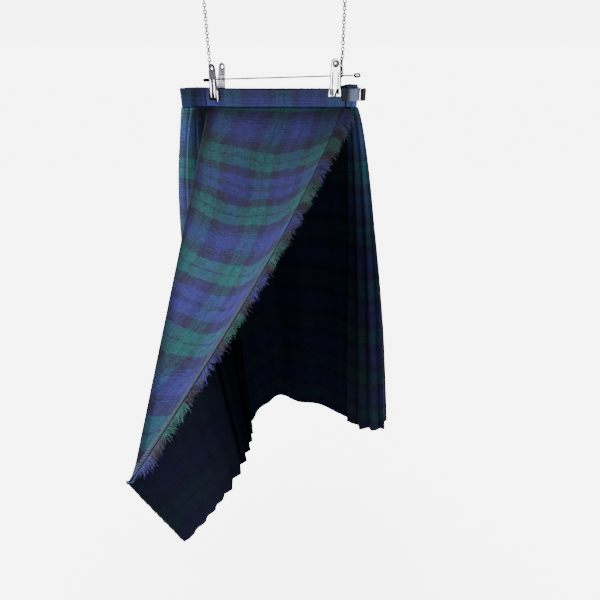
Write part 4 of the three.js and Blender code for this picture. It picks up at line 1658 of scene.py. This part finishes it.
# ------------------------------------------------------------------ strap and buckle
@dataclass
class HipStrap:
    """The leather strap at the right hip, its tail and its buckle."""

    finishes: Finishes
    bottom: float = 9.5
    top: float = 28.5
    wall: float = 2.2
    strap_route: tuple[Point, ...] = (
        (124.5, -2.9, 0), (138, -2.9, 0), (149, -1.2, 0), (154.6, 4.5, 0), (155.8, 12, 0), (154, 21, 0))
    tail_route: tuple[Point, ...] = (
        (156.6, 1.2, 0), (160.4, 0.4, 0), (163.4, 2.8, 0), (164.2, 9, 0), (162.6, 16, 0))
    edge_power: float = 0.22
    crown: float = 0.35
    ridge_length: float = 3.2
    tail_ridges: float = 0.45
    # painted shade at the strap's start and a painted highlight further on, where a sheen would show
    strap_painted_sheen: tuple[float, float] = (0.5, 5.0)
    buckle_at: tuple[float, float] = (154.4, 4.2)
    buckle_width: float = 9.0
    buckle_height: float = 24.0
    buckle_turn: float = 86.0
    buckle_power: float = 0.35
    bar: float = 2.4

    def build_leather(self, name: str, node: str, route: tuple[Point, ...], material: Material, ridges: float,
                      painted_sheen: tuple[float, float] = (1.0, 1.0)) -> None:
        """Make one rounded length of leather.

        Args:
            name: The piece's name.
            node: The node it stands for.
            route: Its plan line.
            material: Its finish.
            ridges: How deep its upright ridges are.
            painted_sheen: How light its start is under painted shade, and how bright its painted highlight is further
                on.
        """
        curve = SmoothCurve(list(route))
        part = np.linspace(0, 1, 81)
        base = curve.at_length(part)
        out = -level_side(unit(np.gradient(base, axis=0)))
        half, middle = (self.top - self.bottom) / 2, (self.top + self.bottom) / 2
        section = np.stack(rounded_box(ring_angles(28), self.edge_power, self.wall / 2, half), axis=1)
        wave = ridges * np.sin(part * curve.length * 2 * math.pi / self.ridge_length)
        rows = []
        for offset, up in section:
            outside = offset > 0
            crown = self.crown * (1 - (up / half) ** 2) * outside
            point = base + out * (offset + crown + wave * outside)[:, None]
            point[:, 2] = middle + up
            rows.append(point)
        # Painted shade at the start, a painted highlight where the strap turns, then its own tone again further on.
        sheen_light = lerp(painted_sheen[0], painted_sheen[1], smooth(0.17, 0.36, part)) * lerp(1.0, 1 / painted_sheen[1], smooth(0.5, 0.65, part))
        made = new_object(name, np.concatenate(rows), section_faces(len(section), len(part), True), [material],
                          crease=60, shade=np.tile(sheen_light, len(section)))
        dress(made, LEATHER_SLOT, node)

    def build(self) -> None:
        """Make the strap, the tail and the buckle."""
        finish = self.finishes
        self.build_leather("hip_strap_leather", "hip_strap", self.strap_route, finish.leather, 0.0, self.strap_painted_sheen)
        self.build_leather("strap_tail_leather", "strap_tail", self.tail_route, finish.keeper, self.tail_ridges)
        turn = math.radians(self.buckle_turn)
        right = np.array([math.cos(turn), math.sin(turn), 0.0])
        out = np.array([math.sin(turn), -math.cos(turn), 0.0])
        up = np.array([0, 0, 1.0])
        centre = np.array([*self.buckle_at, (self.top + self.bottom) / 2]) - out * self.bar / 2
        half_width, half_height = (self.buckle_width - self.bar) / 2, (self.buckle_height - self.bar) / 2
        x, z = rounded_box(ring_angles(48), self.buckle_power, half_width, half_height)
        path = centre + out * self.bar + x[:, None] * right + z[:, None] * up
        bar = centre + out * self.bar + np.linspace(-half_height, half_height, 8)[:, None] * up
        points, faces = joined([tube_mesh(path, self.bar / 2 - 0.1, 10, closed=True), tube_mesh(bar, 0.7, 8)])
        dress(new_object("buckle_frame_metal", points, faces, [finish.metal]), METAL_SLOT, "buckle_frame")


# ------------------------------------------------------------------ hanger
class Side(Enum):
    """The two ends of the hanger."""

    LEFT = "left"
    RIGHT = "right"


class JawFinish(IntEnum):
    """The finishes of a jaw, in the order of its material slots."""

    BRIGHT = 0
    DULL = 1
    BLACK = 2


@dataclass(frozen=True)
class ClipSpec:
    """One clip: where it grips the band, how it stands, and what is pressed into its jaws.

    Attributes:
        side: Which end it is at.
        x: Where it grips, across.
        y: Where it grips, in and out.
        half: How far each jaw's foot stands from its middle.
        turn: How far it is turned, in degrees.
        rise: How much higher it grips than the usual.
        roll: How far its jaws lean sideways.
        front: The finish of its front jaw's plate.
        rib: The finish of its ribs.
        lip: The finish of its lip.
        rib_rise: How far its ribs stand out.
        ribs: Across, low end, high end and radius of each rib.
        slots: Across, low end, high end and slant of each dark slot.
        outside_pad: Whether the front jaw's pad is in front of it, not left out.
    """

    side: Side
    x: float
    y: float
    half: float
    turn: float
    rise: float
    roll: float
    front: JawFinish
    rib: JawFinish
    lip: JawFinish
    rib_rise: float
    ribs: tuple[tuple[float, float, float, float], ...]
    slots: tuple[tuple[float, float, float, float], ...] = ()
    outside_pad: bool = False


LEFT_CLIP = ClipSpec(Side.LEFT, -84, 12, 9.2, -25, -4, 0.08, JawFinish.DULL, JawFinish.BRIGHT, JawFinish.BLACK, 1.2,
                     ((-3.4, 5, 33, 1.5), (3.2, 5, 33, 1.5), (8.2, 0, 17, 1.1)), outside_pad=True)
RIGHT_CLIP = ClipSpec(Side.RIGHT, 113, 7, 8.8, 0, 2, 0.0, JawFinish.BRIGHT, JawFinish.DULL, JawFinish.BRIGHT, 0.1,
                      ((-4.6, 12, 38, 1.1), (4.6, 12, 38, 1.1)),
                      ((-6.8, 3, 13, 0), (-3.4, 2, 12, 0), (0.4, 1, 12, 0.3), (5.4, 4, 13, 0)))


@dataclass
class Hanger:
    """The rod with its end loops, two sprung clips, two chains and two hooks."""

    finishes: Finishes
    rod_radius: float = 1.3
    loop_length: float = 12.0
    loop_height: float = 7.2
    loop_bar: float = 3.1
    loop_inset: float = 2.5
    loop_roll: float = 52.0
    clip_height: float = 56.0
    clip_head: float = 6.4
    clip_neck: float = 8.0
    clip_base: float = 10.0
    plate: float = 1.1
    clip_bottom: float = 14.0
    hole: float = 3.2
    hole_rim: float = 3.9
    slot_wire: float = 1.6
    pad: float = 1.2
    lean: float = 0.1
    clips: tuple[ClipSpec, ...] = (LEFT_CLIP, RIGHT_CLIP)
    spring_wire: float = 0.95
    spring_shift: float = 2.6
    spring_ends: tuple[float, float] = (4.0, 4.6)
    link_pitch: float = 4.7
    link_wire: float = 1.0
    link_length: float = 7.4
    link_width: float = 6.6
    slack_links: int = 6
    slack_shift: float = 1.4
    slack_wire: float = 1.25

    def build_rod(self) -> None:
        """Make the rod and its end loops."""
        path = ROD_LEFT + (ROD_RIGHT - ROD_LEFT) * np.linspace(0, 1, 30)[:, None]
        points, faces = tube_mesh(path, self.rod_radius - 0.15, 16)
        dress(new_object("hanger_rod_metal", points, faces, [self.finishes.steel]), METAL_SLOT, "hanger_rod")
        radius = (self.loop_height - self.loop_bar) / 2
        straight = self.loop_length / 2 - self.loop_height / 2
        ends = ((Side.LEFT, ROD_LEFT, -1, self.loop_roll, self.loop_inset), (Side.RIGHT, ROD_RIGHT, 1, 0.0, 0.0))
        for side, end, sign, roll, inset in ends:
            centre = end + np.array([sign * (self.loop_length / 2 + SEAM_GAP + 0.1 - inset), 0, -0.4 * inset])
            tilt = math.radians(roll)
            up = np.array([0.0, -math.sin(tilt), math.cos(tilt)])
            ring = long_ring(centre, np.array([1.0, 0, 0]), radius, straight, up * radius, 40)
            points, faces = tube_mesh(ring, self.loop_bar / 2, 10, closed=True)
            made = new_object(f"rod_loop_{side.value}_ring", points, faces, [self.finishes.rubber])
            dress(made, RUBBER_SLOT, f"rod_loop_{side.value}")

    def jaw_outline(self) -> np.ndarray:
        """Return a jaw's outline.

        Returns:
            Its points, from its foot round its head.
        """
        top = self.clip_height - self.clip_head
        turn = np.linspace(0, math.pi, 19)
        head = np.stack([self.clip_head * np.cos(turn), top + self.clip_head * np.sin(turn)], axis=1)
        base, neck = self.clip_base, self.clip_neck
        right = np.array([[base, 0], [base, 4], [base - 0.4, 9], [neck + 0.3, 13], [neck, 16], [neck - 0.4, 26],
                          [neck - 0.9, 38]])
        left = right[::-1] * np.array([-1, 1])
        return np.concatenate([right, head, left])

    def upright_bar(self, place: Place, x: float, low: float, high: float, rise: float, radii: Number,
                    steps: int, sides: int, slant: float = 0.0) -> Mesh:
        """Make a thin upright bar on a jaw.

        Args:
            place: The jaw's place.
            x: Where the bar is, across.
            low: Its low end.
            high: Its high end.
            rise: How far its middle stands from the jaw's inner face.
            radii: Its radius.
            steps: How many points it has.
            sides: How many sides it has.
            slant: How far it leans across for each millimetre up.

        Returns:
            The bar's mesh.
        """
        heights = np.linspace(low, high, steps)
        line = np.stack([x + slant * (heights - low), heights, np.full(steps, rise)], axis=1)
        return tube_mesh(place.points(line), radii, sides)

    def jaw_parts(self, spec: ClipSpec, place: Place, plate_finish: JawFinish) -> list[tuple[JawFinish, Mesh]]:
        """Return one jaw's parts.

        Args:
            spec: The clip.
            place: The jaw's place.
            plate_finish: Its plate's finish.

        Returns:
            Its plate, the rim of its hole, its ribs, slots and lip, each with its finish.
        """
        outline = self.jaw_outline()
        top = self.clip_height - self.clip_head
        angles = np.arctan2(outline[:, 1] - top, outline[:, 0])
        hole = np.stack([self.hole * np.cos(angles), top + self.hole * np.sin(angles)], axis=1)
        parts = [(plate_finish, plate_mesh(outline, self.plate, place, 0.3, hole))]
        turns = ring_angles(24)
        rim = np.stack([self.hole_rim * np.cos(turns), top + self.hole_rim * np.sin(turns),
                        np.full(len(turns), self.plate + 0.1)], axis=1)
        parts.append((JawFinish.DULL, tube_mesh(place.points(rim), self.slot_wire, 8, closed=True)))
        taper = np.sin(np.linspace(0.25, math.pi - 0.25, 12)) ** 0.4
        for x, low, high, radius in spec.ribs:
            rib = self.upright_bar(place, x, low, high, self.plate + spec.rib_rise, radius * taper, len(taper), 8)
            parts.append((spec.rib, rib))
        for x, low, high, slant in spec.slots:
            slot = self.upright_bar(place, x, low, high, self.plate + 0.2, self.slot_wire, 6, 6, slant)
            parts.append((JawFinish.BLACK, slot))
        # A black bar down the jaw's side: a painted shadow at its edge.
        if spec.slots:
            painted_shadow_edge = self.upright_bar(place, self.clip_neck + 0.5, 15, 46, self.plate * 0.4, 1.15, 8, 6)
            parts.append((JawFinish.BLACK, painted_shadow_edge))
        lip = np.array([[x, 0.8, self.plate * 0.6] for x in np.linspace(0.6 - self.clip_base, self.clip_base - 0.6, 8)])
        parts.append((spec.lip, tube_mesh(place.points(lip), 0.9, 8)))
        return parts

    def build_pad(self, name: str, place: Place, outside: bool) -> None:
        """Make the rubber pad of a jaw.

        Args:
            name: The jaw's name.
            place: The jaw's place.
            outside: Whether it lies in front of the jaw, not inside it.
        """
        shift, facing = (self.plate + 0.1, place.out) if outside else (-0.1, -place.out)
        outline = np.array([[-9, 0.5], [9, 0.5], [9, 9], [-9, 9]])
        pad_place = Place(place.origin + place.out * shift, place.right, place.up, facing)
        points, faces = plate_mesh(outline, self.pad, pad_place, 0.3)
        dress(new_object(name + "_pad", points, faces, [self.finishes.rubber]), RUBBER_SLOT)

    def build_clip(self, spec: ClipSpec) -> None:
        """Make one clip: two jaws with their pads, and a spring.

        Args:
            spec: Where the clip is and what it has.
        """
        turn = math.radians(spec.turn)
        along = np.array([math.cos(turn), math.sin(turn), 0.0])
        across = np.array([-math.sin(turn), math.cos(turn), 0.0])
        finishes = [self.finishes.metal, self.finishes.steel, self.finishes.rubber]
        for word, sign in (("front", -1), ("back", 1)):
            lean = -sign * self.lean
            up = unit(np.array([0, 0, math.cos(lean)]) - across * math.sin(lean) + along * spec.roll)
            side = unit(along - up * np.dot(along, up))
            out = unit(np.cross(side, up))
            out = out if np.dot(out, across) * sign > 0 else -out
            foot = np.array([spec.x, spec.y, self.clip_bottom + spec.rise]) + across * sign * spec.half
            place = Place(foot, side, up, out)
            parts = self.jaw_parts(spec, place, spec.front if word == "front" else JawFinish.BRIGHT)
            points, faces = joined([mesh for _, mesh in parts])
            slots = np.concatenate([np.full(len(mesh[1]), int(finish)) for finish, mesh in parts])
            name = f"clip_{spec.side.value}_{word}_jaw"
            dress(new_object(name + "_metal", points, faces, finishes, slots=slots, crease=35), METAL_SLOT, name)
            if word == "back" or spec.outside_pad:
                self.build_pad(name, place, word == "front")
        self.build_spring(spec, along, across)

    def build_spring(self, spec: ClipSpec, along: np.ndarray, across: np.ndarray) -> None:
        """Make the bent-wire spring between the jaws.

        Args:
            spec: The clip.
            along: The direction along its jaws.
            across: The direction through them.
        """
        centre = np.array([spec.x, spec.y, rod_point(spec.x)[2]])
        length = 2 * (spec.half + 2.4) - 2.4
        reach, rise = self.spring_ends
        parts = []
        for shift in (-self.spring_shift, 0.0, self.spring_shift):
            turn = long_ring(centre + along * shift, across, reach, length / 2 - reach, np.array([0, 0, rise]), 36)
            parts.append(tube_mesh(turn, self.spring_wire, 8, closed=True))
        points, faces = joined(parts)
        name = f"clip_{spec.side.value}_spring"
        dress(new_object(name + "_wire", points, faces, [self.finishes.metal]), METAL_SLOT, name)

    def build_chain(self, side: Side, x: float) -> None:
        """Make one chain of oval links.

        Args:
            side: Which end it holds.
            x: Where it hangs.
        """
        rod = rod_point(x)
        bottom = rod[2] - 1.2
        count = int((CHAIN_TOP - 1 - bottom) / self.link_pitch)
        pitch = (CHAIN_TOP - 3.2 - bottom - self.link_length / 2 + 2) / count
        straight = (self.link_length - self.link_width) / 2
        radius = (self.link_width - 2 * self.link_wire) / 2
        parts = []
        for n in range(count + 1):
            centre = np.array([x, rod[1], bottom + 2.2 + n * pitch])
            slack = side is Side.RIGHT and 0 < n < self.slack_links
            facing = math.radians(((50, 128) if slack else (12, 96))[n % 2] + 9 * math.sin(n * 1.9))
            centre[0] -= self.slack_shift * math.sin(math.pi * n / (self.slack_links + 1)) if slack else 0.0
            wide = np.array([math.cos(facing), math.sin(facing), 0.0])
            link = long_ring(centre, np.array([0, 0, 1.0]), radius, straight, wide * radius, 22, upright=True)
            parts.append(tube_mesh(link, self.link_wire * (self.slack_wire if slack else 1.0), 7, closed=True))
        points, faces = joined(parts)
        name = f"chain_{side.value}"
        dress(new_object(name + "_links", points, faces, [self.finishes.steel]), METAL_SLOT, name)

    def build_hook(self, side: Side, x: float) -> None:
        """Make the open hook above one chain.

        Args:
            side: Which end it holds.
            x: Where it hangs.
        """
        radius, foot = HOOK_INNER + HOOK_WIRE, CHAIN_TOP + SEAM_GAP
        path = [(0.0, foot + rise) for rise in np.linspace(0, HOOK_SHANK, 5)[:-1]]
        for angle in np.linspace(math.pi, math.pi * (1 - 1.2), 30):
            path.append((radius + radius * math.cos(angle), foot + HOOK_SHANK + radius * math.sin(angle)))
        hook = np.array([[x + shift, rod_point(x)[1], z] for shift, z in path])
        points, faces = tube_mesh(hook, HOOK_WIRE, 12)
        made = new_object(f"hook_{side.value}_wire", points, faces, [self.finishes.metal])
        dress(made, METAL_SLOT, f"hook_{side.value}")

    def build(self) -> None:
        """Make the whole hanger."""
        self.build_rod()
        for spec in self.clips:
            self.build_clip(spec)
        for side, x in ((Side.LEFT, CHAIN_LEFT_X), (Side.RIGHT, CHAIN_RIGHT_X)):
            self.build_chain(side, x)
            self.build_hook(side, x)


# ------------------------------------------------------------------ studio
@dataclass
class Studio:
    """The camera, the soft lights, the pale surroundings and the pale floor."""

    camera_at: Point = (0.0317, -0.8263, -0.0658)
    pitch: float = 31.0
    lens: float = 27.0
    sensor: float = 36.0
    floor_below: float = 0.32
    floor_reach: float = 45.0
    floor_glow: float = 3.4
    front_light: float = 0.3
    back_light: float = 6.5

    def build(self) -> None:
        """Make the studio."""
        self.build_camera()
        self.build_lamp("key_window", (-1.3, -1.6, 1.5), (0.0, -0.1, -0.45), 1.6, 42.0)
        self.build_lamp("top_fill", (0.3, -0.5, 1.9), (0.0, -0.1, -0.4), 1.8, 14.0)
        self.build_air()
        self.build_floor()

    def build_camera(self) -> None:
        """Place the camera."""
        data = bpy.data.cameras.new("studio_camera")
        data.lens, data.sensor_width = self.lens, self.sensor
        data.clip_start, data.clip_end = 0.01, 60.0
        camera = bpy.data.objects.new("studio_camera", data)
        camera.location = self.camera_at
        camera.rotation_euler = (math.radians(90 - self.pitch), 0, 0)
        bpy.context.scene.collection.objects.link(camera)
        bpy.context.scene.camera = camera

    def build_lamp(self, name: str, at: Point, target: Point, size: float, power: float) -> None:
        """Add one soft area light.

        Args:
            name: The light's name.
            at: Where it stands.
            target: What it points at.
            size: How wide it is.
            power: Its power in watts.
        """
        data = bpy.data.lights.new(name, "AREA")
        data.size, data.energy = size, power
        lamp = bpy.data.objects.new(name, data)
        lamp.location = at
        lamp.rotation_euler = (Vector(target) - Vector(at)).to_track_quat("-Z", "Y").to_euler()
        bpy.context.scene.collection.objects.link(lamp)

    def build_air(self) -> None:
        """Make the surroundings, dim in front and bright behind."""
        world = bpy.data.worlds.new("studio_air")
        world.use_nodes = True
        nodes, links = world.node_tree.nodes, world.node_tree.links
        background = nodes["Background"]
        split = nodes.new("ShaderNodeSeparateXYZ")
        ramp = nodes.new("ShaderNodeMapRange")
        direction = nodes.new("ShaderNodeTexCoord")
        links.new(direction.outputs["Generated"], split.inputs[0])
        links.new(split.outputs[1], ramp.inputs[0])
        ends = {"From Min": -0.5, "From Max": 0.5, "To Min": self.front_light, "To Max": self.back_light}
        for key, value in ends.items():
            ramp.inputs[key].default_value = value
        links.new(ramp.outputs[0], background.inputs[1])
        background.inputs[0].default_value = (1.0, 1.0, 1.0, 1.0)
        bpy.context.scene.world = world

    def build_floor(self) -> None:
        """Lay the floor well below the skirt."""
        low, reach = CAD_BOX[0][2] - self.floor_below, self.floor_reach
        corners = [(-reach, -reach, low), (reach, -reach, low), (reach, reach, low), (-reach, reach, low)]
        mesh = bpy.data.meshes.new("studio_floor")
        mesh.from_pydata(corners, [], [(0, 1, 2, 3)])
        floor = bpy.data.objects.new("studio_floor", mesh)
        graph = NodeGraph("floor_paper")
        mesh.materials.append(graph.surface(Base_Color=(0.95, 0.95, 0.95, 1.0), Roughness=0.9, Specular_IOR_Level=0.1,
                                            Emission_Color=(1.0, 1.0, 1.0, 1.0), Emission_Strength=self.floor_glow))
        bpy.context.scene.collection.objects.link(floor)


def main() -> None:
    """Build every sub-assembly in order and report it."""
    logging.basicConfig(level=logging.INFO, format="%(message)s")
    finishes = Finishes()
    for part in (Studio(), OverApron(finishes), PleatedCloth(finishes), UnderApron(finishes), Waistband(finishes),
                 HipStrap(finishes), Hanger(finishes)):
        part.build()
        LOG.info("built %s", type(part).__name__)


if __name__ == "__main__":
    main()
